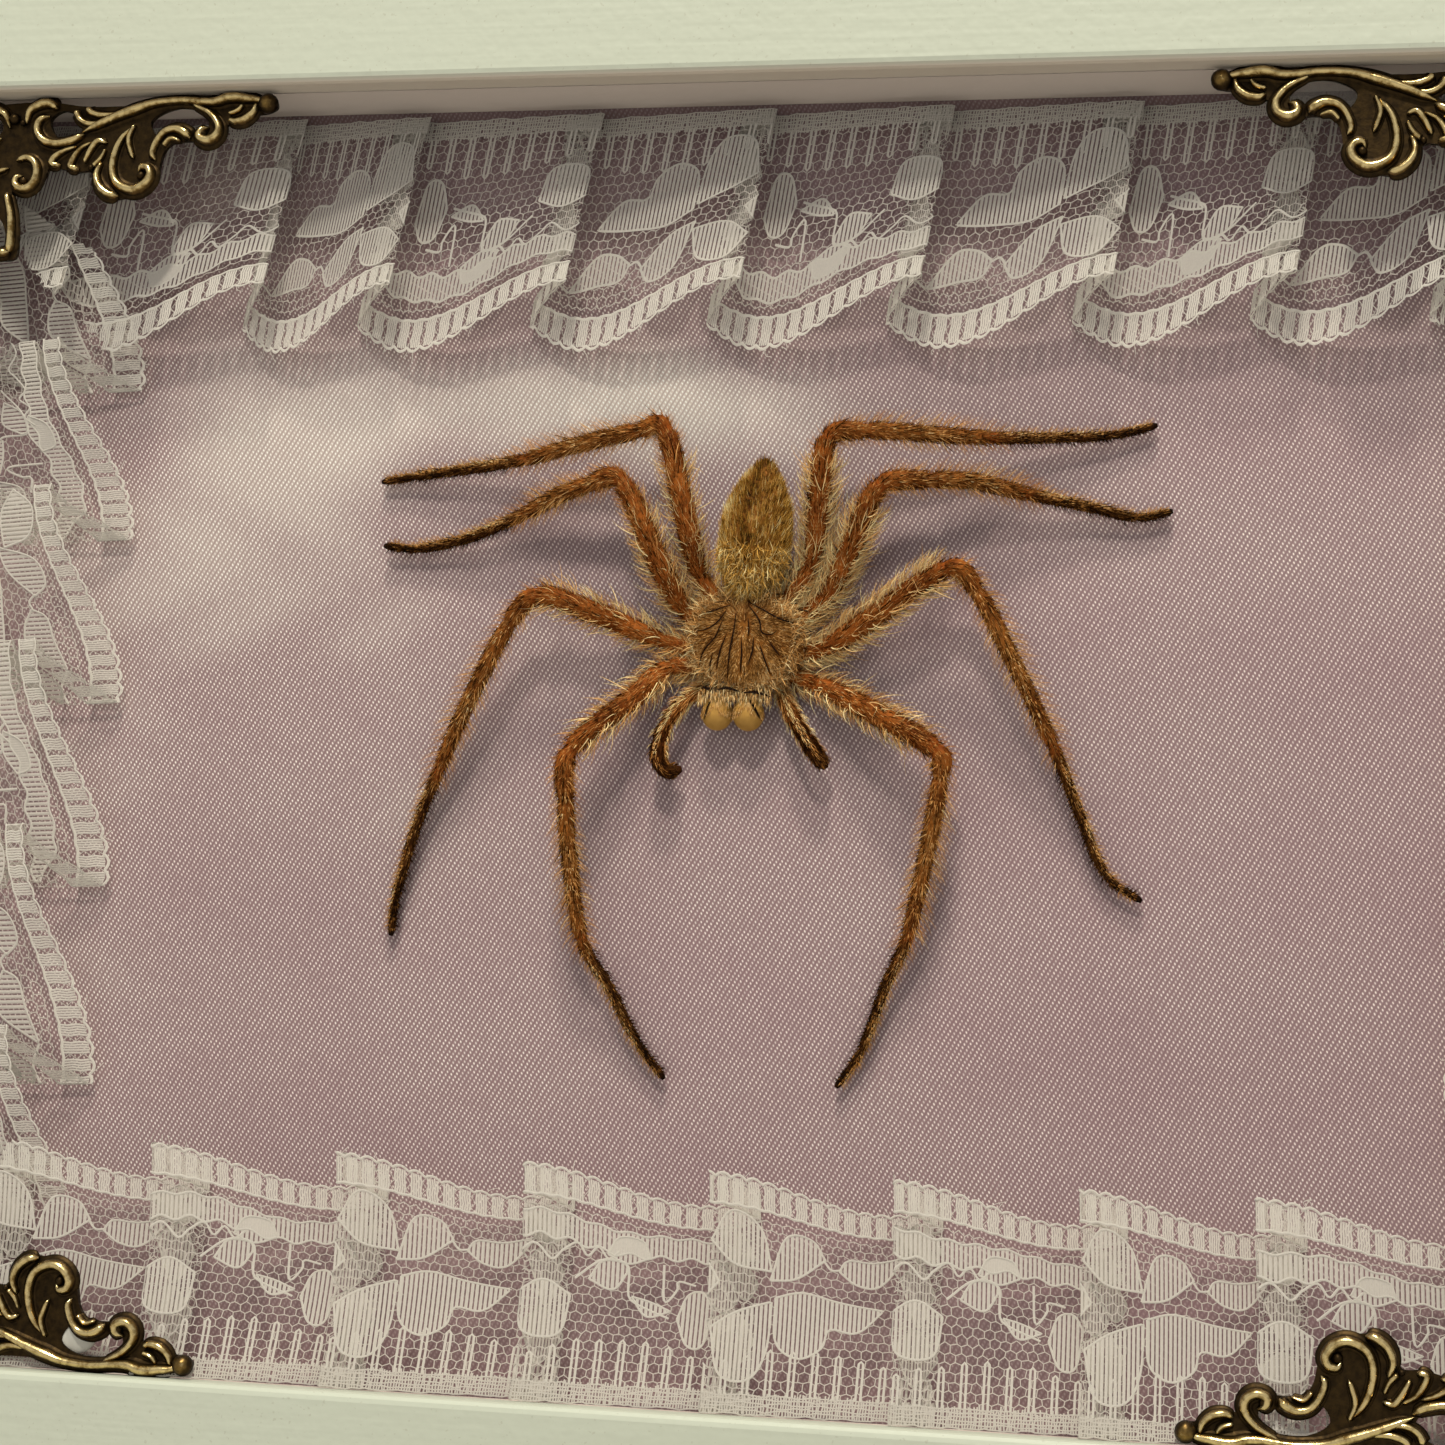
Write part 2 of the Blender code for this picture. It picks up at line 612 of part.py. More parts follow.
def add_chelicerae():
    """Two swollen jaws side by side below the front of the carapace."""
    finish = chelicera_gold()
    half_width, half_length, half_height = 1.2, 1.45, 1.3
    for name, across in (("right", 0.25), ("left", 3.2)):
        rings = []
        for level in np.radians((-60, -30, 0, 30, 60)):
            ring = []
            for k in range(12):
                turn = 2 * math.pi * k / 12
                ring.append(world(across + half_width * math.cos(level) * math.cos(turn),
                                  SATIN_FACE - 2.3 - half_height * math.cos(level) * math.sin(turn),
                                  2.05 + half_length * math.sin(level)))
            rings.append(ring)
        ends = [world(across, SATIN_FACE - 2.3, 2.05 + sign * half_length) for sign in (-1, 1)]
        add_loft(f"chelicera_{name}", rings, finish, start=ends[0], end=ends[1])


def main():
    for old in list(bpy.data.objects):
        bpy.data.objects.remove(old)
    add_rails()
    add_sheet_pack()
    add_spacers()
    add_glazier_points()
    add_hanger()
    add_filigree_corners()
    add_lace_ruffles()
    add_legs()
    add_palps()
    add_cephalothorax()
    add_abdomen()
    add_chelicerae()


main()
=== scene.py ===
# Looks of the framed huntsman spider: paint, glass, satin, lace, bronze corners and the spider.
# Shapes are worked out in millimetres from the middle of the sight opening: across to the right, up,
# and height above the satin towards the glass.
import math

import bpy
import numpy as np
from mathutils import Matrix, Vector
from mathutils.geometry import tessellate_polygon


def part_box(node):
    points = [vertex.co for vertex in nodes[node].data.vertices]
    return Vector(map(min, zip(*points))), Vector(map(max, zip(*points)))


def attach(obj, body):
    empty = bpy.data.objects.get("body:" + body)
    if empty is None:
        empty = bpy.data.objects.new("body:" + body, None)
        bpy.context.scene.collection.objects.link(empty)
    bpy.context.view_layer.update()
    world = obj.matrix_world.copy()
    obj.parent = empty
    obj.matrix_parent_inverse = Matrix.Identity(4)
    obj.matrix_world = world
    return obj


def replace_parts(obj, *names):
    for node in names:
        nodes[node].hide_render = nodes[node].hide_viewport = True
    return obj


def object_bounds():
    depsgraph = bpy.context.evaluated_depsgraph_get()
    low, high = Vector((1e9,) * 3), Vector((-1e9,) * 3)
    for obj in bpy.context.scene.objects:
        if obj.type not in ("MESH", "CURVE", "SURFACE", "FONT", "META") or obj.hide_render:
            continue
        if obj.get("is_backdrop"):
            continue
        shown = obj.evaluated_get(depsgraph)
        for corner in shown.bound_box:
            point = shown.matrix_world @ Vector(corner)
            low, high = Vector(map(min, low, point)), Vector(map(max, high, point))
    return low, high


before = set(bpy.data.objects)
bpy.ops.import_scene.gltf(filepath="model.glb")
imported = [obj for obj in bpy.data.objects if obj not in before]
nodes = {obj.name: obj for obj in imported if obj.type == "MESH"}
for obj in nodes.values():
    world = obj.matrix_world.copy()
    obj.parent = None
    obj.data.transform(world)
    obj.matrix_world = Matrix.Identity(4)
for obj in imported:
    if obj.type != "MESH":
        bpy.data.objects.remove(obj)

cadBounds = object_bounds()
mm = 0.001


def nodeMm(name):
    # a CAD node's lowest and highest corner in millimetres
    low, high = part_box(name)
    return np.array(low) / mm, np.array(high) / mm


glassLow, glassHigh = nodeMm("glass_pane")
satinLow, satinHigh = nodeMm("satin_lining")
sightMiddle = (glassLow[2] + glassHigh[2]) / 2
satinFace = satinLow[1]
lipCover = 4.0  # how far the lip of the frame covers the glass
sight = {
    "halfWidth": glassHigh[0] - lipCover,
    "halfHeight": (glassHigh[2] - glassLow[2]) / 2 - lipCover,
}


def toWorld(across, up, height):
    # design millimetres to metres in the frame: the satin's face is height 0, the glass is towards -Y
    return np.stack(np.broadcast_arrays(across, satinFace - height, up + sightMiddle), axis=-1) * mm


# Mesh helpers


def linkPiece(mesh, material, slot):
    # the mesh as an object that rides on the frame
    mesh.materials.append(material)
    piece = bpy.data.objects.new(mesh.name, mesh)
    bpy.context.scene.collection.objects.link(piece)
    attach(piece, "root")
    return piece


def addPiece(name, points, quads, material, slot, values=None):
    # points (n, 3) in metres and quads (m, 4) into one smooth object; values are numbers for each point
    points = np.ascontiguousarray(points, dtype=np.float32).reshape(-1, 3)
    quads = np.ascontiguousarray(quads, dtype=np.int32).reshape(-1, 4)
    mesh = bpy.data.meshes.new(name)
    mesh.vertices.add(len(points))
    mesh.vertices.foreach_set("co", points.ravel())
    mesh.loops.add(quads.size)
    mesh.loops.foreach_set("vertex_index", quads.ravel())
    mesh.polygons.add(len(quads))
    mesh.polygons.foreach_set("loop_start", np.arange(len(quads), dtype=np.int32) * 4)
    mesh.polygons.foreach_set("use_smooth", np.full(len(quads), True))
    for key, value in (values or {}).items():
        made = mesh.attributes.new(key, "FLOAT", "POINT")
        made.data.foreach_set("value", np.ascontiguousarray(value, dtype=np.float32).ravel())
    mesh.update(calc_edges=True)
    return linkPiece(mesh, material, slot)


def gridQuads(rows, columns, count=1, wrap=False):
    # quads of count equal grids, one after another; wrap joins the last column to the first
    across = columns if wrap else columns - 1
    r, c = np.meshgrid(np.arange(rows - 1), np.arange(across), indexing="ij")
    nextC = (c + 1) % columns
    corners = ((r, c), (r, nextC), (r + 1, nextC), (r + 1, c))
    one = np.stack([row * columns + column for row, column in corners], -1)
    shifts = np.arange(count)[:, None, None] * rows * columns
    return (one.reshape(1, -1, 4) + shifts).reshape(-1, 4)


# Material helpers


class Nodes:
    # a few short calls for building a node tree
    def __init__(self, name):
        self.material = bpy.data.materials.new(name)
        self.material.use_nodes = True
        self.tree = self.material.node_tree
        self.shader = self.tree.nodes["Principled BSDF"]
        self.output = self.tree.nodes["Material Output"]

    def add(self, kind, settings=None, **inputs):
        node = self.tree.nodes.new(kind)
        for key, value in (settings or {}).items():
            setattr(node, key, value)
        for key, value in inputs.items():
            self.feed(node, key, value)
        return node

    def feed(self, node, key, value):
        socket = node.inputs[int(key[1:])] if key[1:].isdigit() else node.inputs[key.replace("_", " ")]
        if isinstance(value, bpy.types.NodeSocket):
            self.tree.links.new(value, socket)
        elif socket.type == "RGBA":
            socket.default_value = (*value[:3], 1.0)
        else:
            socket.default_value = value

    def letThrough(self, share, shader):
        # a share of the light goes straight through the surface
        clear = self.add("ShaderNodeBsdfTransparent")
        both = self.add("ShaderNodeMixShader", {}, i0=share, i1=shader.outputs[0], i2=clear.outputs[0])
        self.tree.links.new(both.outputs[0], self.output.inputs["Surface"])
        return self.material

    def math(self, operation, a, b=0.0, c=None):
        node = self.add("ShaderNodeMath", {"operation": operation}, i0=a, i1=b)
        if c is not None:
            self.feed(node, "i2", c)
        return node.outputs[0]

    def times(self, a, b):
        return self.math("MULTIPLY", a, b)

    def plus(self, a, b):
        return self.math("ADD", a, b)

    def minus(self, a, b):
        return self.math("SUBTRACT", a, b)

    def line(self, value, slope, start):
        # slope * value + start
        return self.math("MULTIPLY_ADD", value, slope, start)

    def split(self, where):
        # the X and Z parts of a place
        parts = self.add("ShaderNodeSeparateXYZ", {}, Vector=where)
        return parts.outputs["X"], parts.outputs["Z"]

    def places(self, scale=(1, 1, 1)):
        source = self.add("ShaderNodeTexCoord").outputs["Object"]
        return self.add("ShaderNodeMapping", {}, Vector=source, Scale=scale).outputs[0]

    def noise(self, where, scale, detail=3.0, roughness=0.5):
        settings = {"Vector": where, "Scale": scale, "Detail": detail, "Roughness": roughness}
        return self.add("ShaderNodeTexNoise", {}, **settings).outputs["Fac"]

    def ramp(self, value, stops, smooth=False):
        made = self.add("ShaderNodeValToRGB", {}, Fac=value)
        made.color_ramp.interpolation = "EASE" if smooth else "LINEAR"
        points = made.color_ramp.elements
        while len(points) < len(stops):
            points.new(0.5)
        for point, (at, colour) in zip(points, stops):
            point.position = at
            point.color = (*colour, 1.0)
        return made.outputs[0]

    def mix(self, share, a, b):
        node = self.add("ShaderNodeMix", {"data_type": "RGBA"}, i0=share)
        for index, value in ((6, a), (7, b)):
            if isinstance(value, bpy.types.NodeSocket):
                self.tree.links.new(value, node.inputs[index])
            else:
                node.inputs[index].default_value = (*value, 1.0)
        return node.outputs[2]

    def value(self, name):
        return self.add("ShaderNodeAttribute", {"attribute_name": name}).outputs["Fac"]

    def bump(self, height, strength, distance):
        node = self.add("ShaderNodeBump", {}, Height=height, Strength=strength, Distance=distance)
        self.tree.links.new(node.outputs[0], self.shader.inputs["Normal"])

    def finish(self, **inputs):
        for key, value in inputs.items():
            self.feed(self.shader, key, value)
        return self.material


def srgb(red, green, blue):
    # a screen colour, 0 to 255, as the linear values that a shader takes
    share = np.array((red, green, blue)) / 255.0
    line = np.where(share <= 0.04045, share / 12.92, ((share + 0.055) / 1.055) ** 2.4)
    return tuple(float(v) for v in line)


black, white = (0, 0, 0), (1, 1, 1)


# Camera, light and floor

view = {
    "place": (0.0599, -0.2773, 0.04045),  # metres
    "yaw": -12.26,  # degrees
    "pitch": 7.48,
    "roll": 2.70,
    "lens": 76.96,  # millimetres
    "sensor": 36.0,
    "near": 0.001,
}


def addCamera():
    # the camera looks along a yaw and a pitch, then turns about its own axis by the roll
    yaw, pitch, roll = (math.radians(view[key]) for key in ("yaw", "pitch", "roll"))
    forward = np.array((math.sin(yaw) * math.cos(pitch), math.cos(yaw) * math.cos(pitch), math.sin(pitch)))
    level = np.cross(forward, (0.0, 0.0, 1.0))
    level /= np.linalg.norm(level)
    upright = np.cross(level, forward)
    right = level * math.cos(roll) + upright * math.sin(roll)
    top = upright * math.cos(roll) - level * math.sin(roll)
    lens = bpy.data.cameras.new("photoView")
    lens.lens = view["lens"]
    lens.sensor_width = view["sensor"]
    lens.clip_start = view["near"]
    camera = bpy.data.objects.new("photoView", lens)
    matrix = np.eye(4)
    matrix[:3, 0], matrix[:3, 1], matrix[:3, 2], matrix[:3, 3] = right, top, -forward, view["place"]
    camera.matrix_world = Matrix(matrix.tolist())
    bpy.context.scene.collection.objects.link(camera)
    bpy.context.scene.camera = camera


lights = {
    # two small lamps above and in front: the way to each from the picture, its power and its colour
    "lamps": (("highLamp", (0.08, -1.0, 2.30), 6.9, (0.95, 0.93, 0.81)),
              ("lowLamp", (0.0, -1.0, 1.16), 6.0, (0.95, 0.93, 0.83))),
    "size": 0.10,
    "far": 1.1,
    "worldColour": (0.762, 0.777, 0.785),
    "worldStrength": 0.595,
    "bounces": {"max_bounces": 2, "diffuse_bounces": 1, "glossy_bounces": 1, "transmission_bounces": 2},
}


def addLights():
    # the lamps look at the middle of the picture; the rest is an even pale room
    centre = np.array((0.0, 0.0, sightMiddle * mm))
    for name, towards, power, colour in lights["lamps"]:
        towards = np.array(towards) / np.linalg.norm(towards)
        data = bpy.data.lights.new(name, "AREA")
        data.shape = "DISK"
        data.size = lights["size"]
        data.energy = power
        data.color = colour
        lamp = bpy.data.objects.new(name, data)
        lamp.location = centre + towards * lights["far"]
        lamp.rotation_mode = "QUATERNION"
        lamp.rotation_quaternion = Vector(-towards).to_track_quat("-Z", "Y")
        bpy.context.scene.collection.objects.link(lamp)
    world = bpy.data.worlds.new("paleRoom")
    world.use_nodes = True
    back = world.node_tree.nodes["Background"]
    back.inputs["Color"].default_value = (*lights["worldColour"], 1.0)
    back.inputs["Strength"].default_value = lights["worldStrength"]
    bpy.context.scene.world = world
    bpy.context.scene.view_settings.view_transform = "Standard"
    for name, most in lights["bounces"].items():
        setattr(bpy.context.scene.cycles, name, most)


floorLook = {"half": 1.5, "colour": (0.47, 0.46, 0.445), "roughness": 0.8}


def addFloor():
    half = floorLook["half"]
    mesh = bpy.data.meshes.new("floor")
    corners = [(-half, -half, 0), (half, -half, 0), (half, half, 0), (-half, half, 0)]
    mesh.from_pydata(corners, [], [(0, 1, 2, 3)])
    made = Nodes("paleFloor")
    mesh.materials.append(made.finish(Base_Color=floorLook["colour"], Roughness=floorLook["roughness"]))
    floor = bpy.data.objects.new("floor", mesh)
    bpy.context.scene.collection.objects.link(floor)
    floor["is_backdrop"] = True


# Finishes of the frame

paint = {
    "colour": srgb(201, 204, 186),
    "worn": srgb(186, 187, 165),
    "speck": srgb(150, 140, 118),
    # painted shade and bounce light for the inner faces of the lip
    "inner": srgb(220, 206, 188),
    "roughness": 0.38,
}


def paintMaterial():
    # cream white paint: faint brush lines along the rail, a slight orange peel, small dust specks
    made = Nodes("creamPaint")
    where = made.places()
    cloud = made.noise(where, 18.0, 2.0)
    brush = made.noise(made.places(scale=(1.0, 14.0, 22.0)), 60.0, 1.0)
    specks = made.ramp(made.noise(where, 2600.0, 1.0), [(0.70, black), (0.76, white)])
    base = made.mix(made.times(cloud, 0.55), paint["colour"], paint["worn"])
    base = made.mix(made.times(specks, 0.25), base, paint["speck"])
    # painted shade and bounce light: the inner faces of the lip get a darker pinkish colour, as if shaded
    # and lit by the satin beside them, but not the one at the bottom
    x, z = made.split(where)
    acrossOut = made.minus(made.math("ABSOLUTE", x), sight["halfWidth"] * mm)
    upOut = made.math("ABSOLUTE", made.minus(z, sightMiddle * mm))
    out = made.math("MAXIMUM", acrossOut, made.minus(upOut, sight["halfHeight"] * mm))
    inner = made.ramp(made.times(out, 1 / mm), [(0.10, white), (0.50, black)])
    aboveSill = made.math("GREATER_THAN", z, (sightMiddle - sight["halfHeight"] + 1) * mm)
    base = made.mix(made.times(inner, aboveSill), base, paint["inner"])
    relief = made.plus(made.times(brush, 0.7), made.noise(where, 900.0, 1.0))
    made.bump(relief, 0.12, 0.0004)
    rough = made.line(cloud, 0.18, paint["roughness"] - 0.08)
    return made.finish(Base_Color=base, Roughness=rough, Coat_Weight=0.12, Coat_Roughness=0.3)


def cardMaterial():
    # matt white spacer card with a fine paper grain
    made = Nodes("spacerCard")
    where = made.places()
    grain = made.noise(where, 700.0, 2.0, 0.65)
    stain = made.noise(where, 26.0, 3.0)
    base = made.mix(made.times(stain, 0.5), srgb(230, 214, 202), srgb(214, 196, 184))
    made.bump(grain, 0.25, 0.0002)
    return made.finish(Base_Color=base, Roughness=0.85)


def greyBoardMaterial():
    # backing board: grey brown card with pressed fibres
    made = Nodes("backingCard")
    fibres = made.noise(made.places(scale=(1.0, 1.0, 5.0)), 420.0, 5.0, 0.7)
    base = made.ramp(fibres, [(0.25, srgb(120, 108, 92)), (0.75, srgb(176, 164, 144))])
    made.bump(fibres, 0.3, 0.0002)
    return made.finish(Base_Color=base, Roughness=0.9)


def hardboardMaterial():
    # brown hardboard: pressed wood fibres, darker knots and a slight sheen
    made = Nodes("hardboard")
    where = made.places()
    fibres = made.noise(where, 520.0, 8.0, 0.72)
    cloud = made.noise(where, 30.0, 3.0)
    base = made.ramp(fibres, [(0.28, srgb(70, 42, 24)), (0.5, srgb(121, 80, 48)), (0.74, srgb(165, 120, 78))])
    base = made.mix(made.times(cloud, 0.5), base, srgb(98, 62, 38))
    made.bump(fibres, 0.35, 0.0003)
    return made.finish(Base_Color=base, Roughness=0.62)


def zincMaterial():
    # zinc plated steel: soft spangle, fine scratches and a little tarnish
    made = Nodes("zincPlate")
    where = made.places()
    spangle = made.add("ShaderNodeTexVoronoi", {}, Vector=where, Scale=520.0).outputs["Distance"]
    scratch = made.noise(made.places(scale=(1.0, 1.0, 30.0)), 260.0, 4.0)
    base = made.mix(spangle, srgb(196, 198, 200), srgb(150, 150, 146))
    rough = made.line(scratch, 0.3, 0.22)
    made.bump(scratch, 0.1, 0.0001)
    return made.finish(Base_Color=base, Metallic=1.0, Roughness=rough)


def glassMaterial():
    # clear float glass: the light of the lamps and of the room passes straight through it
    made = Nodes("clearGlass")
    made.finish(Base_Color=(0.985, 0.995, 0.99), Roughness=0.0, IOR=1.45, Transmission_Weight=1.0,
                Specular_IOR_Level=0.5)
    path = made.add("ShaderNodeLightPath")
    through = made.math("MAXIMUM", path.outputs["Is Shadow Ray"], path.outputs["Is Diffuse Ray"])
    # seen from the front it shows no reflection, and at a glancing angle it does
    facing = made.add("ShaderNodeLayerWeight", {}, Blend=0.5).outputs["Facing"]
    plain = made.line(made.math("POWER", facing, 3.0), -0.6, 1.01)
    return made.letThrough(made.math("MAXIMUM", through, plain), made.shader)


def dressFrame():
    # gives the rigid CAD nodes of the frame their finishes
    finishes = {
        "_rail": paintMaterial(),
        "_spacer": cardMaterial(),
        "glass_pane": glassMaterial(),
        "backing_board": greyBoardMaterial(),
        "back_panel": hardboardMaterial(),
        "glazier_point": zincMaterial(),
    }
    finishes["hanger"] = finishes["glazier_point"]
    for name, node in nodes.items():
        for part, material in finishes.items():
            if part in name:
                for slot in node.material_slots:
                    slot.material = material
    print("frame dressed")


# Satin

satin = {
    "columns": 180,
    "rows": 130,
    "thick": 0.25,
    "wave": 0.10,  # depth of the slack
    "dotPitch": 0.433,  # from row to row
    "dotStep": 0.331,  # from dot to dot in a row
    "dotLean": 60.4,  # of a row from the horizontal, in degrees
    "dotHalf": (0.105, 0.165),  # half width and half height
    # ground and floats: colours from 0 to 1 of the painted sheen, the light end a painted champagne highlight
    "ground": [(0.0, srgb(140, 109, 114)), (0.5, srgb(151, 124, 124)), (1.0, srgb(214, 198, 186))],
    "groove": srgb(122, 88, 88),
    "floats": [(0.0, srgb(228, 204, 198)), (0.5, srgb(252, 240, 230)), (1.0, srgb(255, 254, 246))],
    # painted highlights of the sheen: (across, up), (half width, half height), gain
    "paintedHighlights": (((-44, 26), (13, 8), 0.36), ((-22, 32), (16, 5), 0.34), ((2, 31), (16, 5), 0.34),
              ((-10, 33), (11, 4), 0.20), ((-54, 13), (10, 12), 0.24), ((54, 18), (14, 10), 0.10),
              ((-34, 2), (16, 14), 0.08)),
}


def satinMaterial():
    # stretched satin: oval floats in slanting rows over a darker ground, a painted champagne sheen, and
    # painted shade on the floats under the ruffles
    made = Nodes("mauveSatin")
    lean = math.radians(satin["dotLean"])
    pitch, apart = satin["dotPitch"] * mm, satin["dotStep"] * mm
    wide, tall = (half * mm for half in satin["dotHalf"])
    where = made.add("ShaderNodeTexCoord").outputs["Object"]
    x, z = made.split(where)
    wobble = made.times(made.minus(made.noise(where, 900.0, 1.0), 0.5), pitch * 0.3)
    # across the rows and along a row, both in units of their pitch
    acrossRow = made.minus(made.times(x, math.sin(lean)), made.times(z, math.cos(lean)))
    alongRow = made.plus(made.times(x, math.cos(lean)), made.times(z, math.sin(lean)))
    row = made.math("DIVIDE", made.plus(acrossRow, wobble), pitch)
    step = made.math("DIVIDE", alongRow, apart)
    a = made.minus(made.math("FRACT", row), 0.5)
    b = made.minus(made.math("FRACT", step), 0.5)
    # an oval that stands nearly upright: a and b turned back to across and up, in units of its half sizes
    right = made.plus(made.times(a, pitch * math.sin(lean)), made.times(b, apart * math.cos(lean)))
    upright = made.minus(made.times(b, apart * math.sin(lean)), made.times(a, pitch * math.cos(lean)))
    right = made.line(upright, 0.28, right)
    squares = [made.math("POWER", made.math("DIVIDE", way, half), 2.0)
               for way, half in ((right, wide), (upright, tall))]
    far = made.math("SQRT", made.plus(*squares))
    dot = made.ramp(far, [(0.25, white), (1.0, black)], smooth=True)
    # each dot has its own brightness
    number = {"X": made.math("FLOOR", row), "Y": made.math("FLOOR", step)}
    cell = made.add("ShaderNodeCombineXYZ", {}, **number).outputs[0]
    fleck = made.add("ShaderNodeTexWhiteNoise", {"noise_dimensions": "2D"}, Vector=cell).outputs["Value"]
    # painted shade: the floats dim under the ruffles
    dot = made.times(made.times(dot, made.line(fleck, 0.6, 0.6)), made.value("litFloats"))
    # painted sheen: a painted highlight lightens the ground and the floats
    ground = made.ramp(made.value("sheen"), satin["ground"])
    floats = made.ramp(made.value("sheen"), satin["floats"])
    groove = made.ramp(made.math("ABSOLUTE", a), [(0.26, black), (0.48, white)])
    ground = made.mix(made.times(groove, 0.45), ground, satin["groove"])
    return made.finish(Base_Color=made.mix(dot, ground, floats), Roughness=made.line(dot, -0.12, 0.46),
                       Sheen_Weight=0.25, Sheen_Roughness=0.4, Sheen_Tint=(1.0, 0.9, 0.86),
                       Specular_IOR_Level=0.5)


def softSpot(x, z, centre, size):
    # a smooth hill: exp of minus the squared distance in units of its size
    return np.exp(-((x - centre[0]) / size[0]) ** 2 - ((z - centre[1]) / size[1]) ** 2)


def paintedSatinSheen(x, z):
    # 0 to 1, the painted sheen: a painted highlight in broad hills at the upper left and the top,
    # a slow fall to the lower right, and two products of slow waves
    share = 0.34 + 0.0012 * z - 0.0016 * x
    for centre, size, gain in satin["paintedHighlights"]:
        share += gain * softSpot(x, z, centre, size)
    share += 0.09 * np.sin(x * 0.11 + z * 0.19) * np.sin(z * 0.13 - x * 0.06 + 1.0)
    share += 0.05 * np.sin(x * 0.43 + np.sin(z * 0.31) * 2) * np.sin(z * 0.37 + 0.8)
    return np.clip(share, 0.0, 1.0)


def satinLitFloats(x, z):
    # painted shade: 1 on the open cloth, less under the ruffles, where they shade the floats; the product of
    # a ramp at each wall
    share = 0.75
    for fromWall, start, width in ((sight["halfHeight"] - z, 13.0, 5.0), (z + sight["halfHeight"], 12.0, 5.0),
                                   (x + sight["halfWidth"], 13.0, 6.0), (sight["halfWidth"] - x, 13.0, 5.0)):
        share = share * np.clip((fromWall - start) / width, 0, 1)
    return 0.25 + share


def addSatin():
    # a grid over the board: its height is a sum of slow waves that die out at the edges
    x = np.linspace(satinLow[0], satinHigh[0], satin["columns"])
    z = np.linspace(satinLow[2], satinHigh[2], satin["rows"]) - sightMiddle
    x, z = np.meshgrid(x, z)
    hold = np.clip(1 - (np.abs(x) / satinHigh[0]) ** 6, 0, 1)
    hold *= np.clip(1 - (np.abs(z) / sight["halfHeight"]) ** 6, 0, 1)
    wave = np.sin(x * 0.13 + 0.05 * z) * 0.5 + np.sin(z * 0.21 - x * 0.04 + 1.2) * 0.5
    height = satin["wave"] * (wave - 1.0) * hold
    # the painted sheen, and the painted shade of the floats under the ruffles, go to the cloth as values at
    # each point
    piece = addPiece("satinCloth", toWorld(x, z, height), gridQuads(*x.shape), satinMaterial(), "mauve_satin",
                     values={"sheen": paintedSatinSheen(x, z), "litFloats": satinLitFloats(x, z)})
    thick = piece.modifiers.new("clothThickness", "SOLIDIFY")
    thick.thickness = satin["thick"] * mm
    thick.offset = -1.0
    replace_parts(piece, "satin_lining")
    print("satin laid")


# Lace ruffles

lace = {
    "width": 20.0,  # nominal, header to the edge of the border
    "pleat": 27.0,  # nominal cloth in one pleat
    "foldShare": 0.765,  # share of a pleat's cloth that is the climbing panel
    "overlap": 4.0,  # how far a pleat lies under its fold
    "low": 0.75,  # height of the low places
    "rise": 5.2,  # height of a fold over the low places
    "headerShare": 0.4,  # how far the folds stand open at the header
    "netPitch": 0.95,  # from hole to hole in a row
    "netRow": 0.80,  # from row to row
    "threadPitch": 0.40,
    "combPitch": 1.97,  # from bar to bar
    "ladderPitch": 1.38,  # from block to block
    "ladder": (17.5, 19.7),  # inner and outer edge of the border
    "seed": 7,
}

# per side: start of the header in from the sight edge, the cloth's reach at its longest and shortest,
# whether the raised fold is the longest place, the share of a pleat from there to the other extreme,
# the lean of the folds, the slant of its cut in the corners, where the first pleat starts and where the
# raised folds are; "lift" holds the header that much higher above the satin
laceSides = {
    "top": {"header": 0.4, "long": 23.4, "short": 17.7, "longRaised": False, "peak": 0.46, "lean": -0.12,
            "slant": 0.97, "start": -84.4,
            "folds": (-63.5, -43.0, -30.6, -13.5, 3.2, 19.9, 37.3, 53.4, 69.5, 84.0)},
    "bottom": {"header": 0.1, "long": 20.7, "short": 17.5, "longRaised": True, "peak": 0.42, "lean": 0.04,
               "slant": 1.0, "lift": 7.2, "start": -84.4,
               "folds": (-67.5, -50.4, -35.5, -19.3, -2.8, 14.2, 31.8, 49.5, 67.0, 84.0)},
    "left": {"header": 3.0, "long": 26.4, "short": 19.6, "longRaised": False, "peak": 0.28, "lean": 0.05,
             "slant": 0.62, "overlap": 5.2, "start": -58.0,
             "folds": (-47.5, -29.6, -10.7, 6.9, 22.0, 36.2, 52.5)},
    "right": {"header": 0.4, "long": 19.8, "short": 17.4, "longRaised": False, "peak": 0.36, "lean": -0.05,
              "slant": 0.8, "start": -55.0, "folds": (-38.0, -20.6, -3.5, 13.4, 30.2, 47.0)},
}


def sidePlace(side, along, inward, height):
    # a place on one wall: along it from its middle, inward from the sight edge
    if side == "top":
        return toWorld(along, sight["halfHeight"] - inward, height)
    if side == "bottom":
        return toWorld(-along, inward - sight["halfHeight"], height)
    if side == "left":
        return toWorld(inward - sight["halfWidth"], along, height)
    return toWorld(sight["halfWidth"] - inward, -along, height)


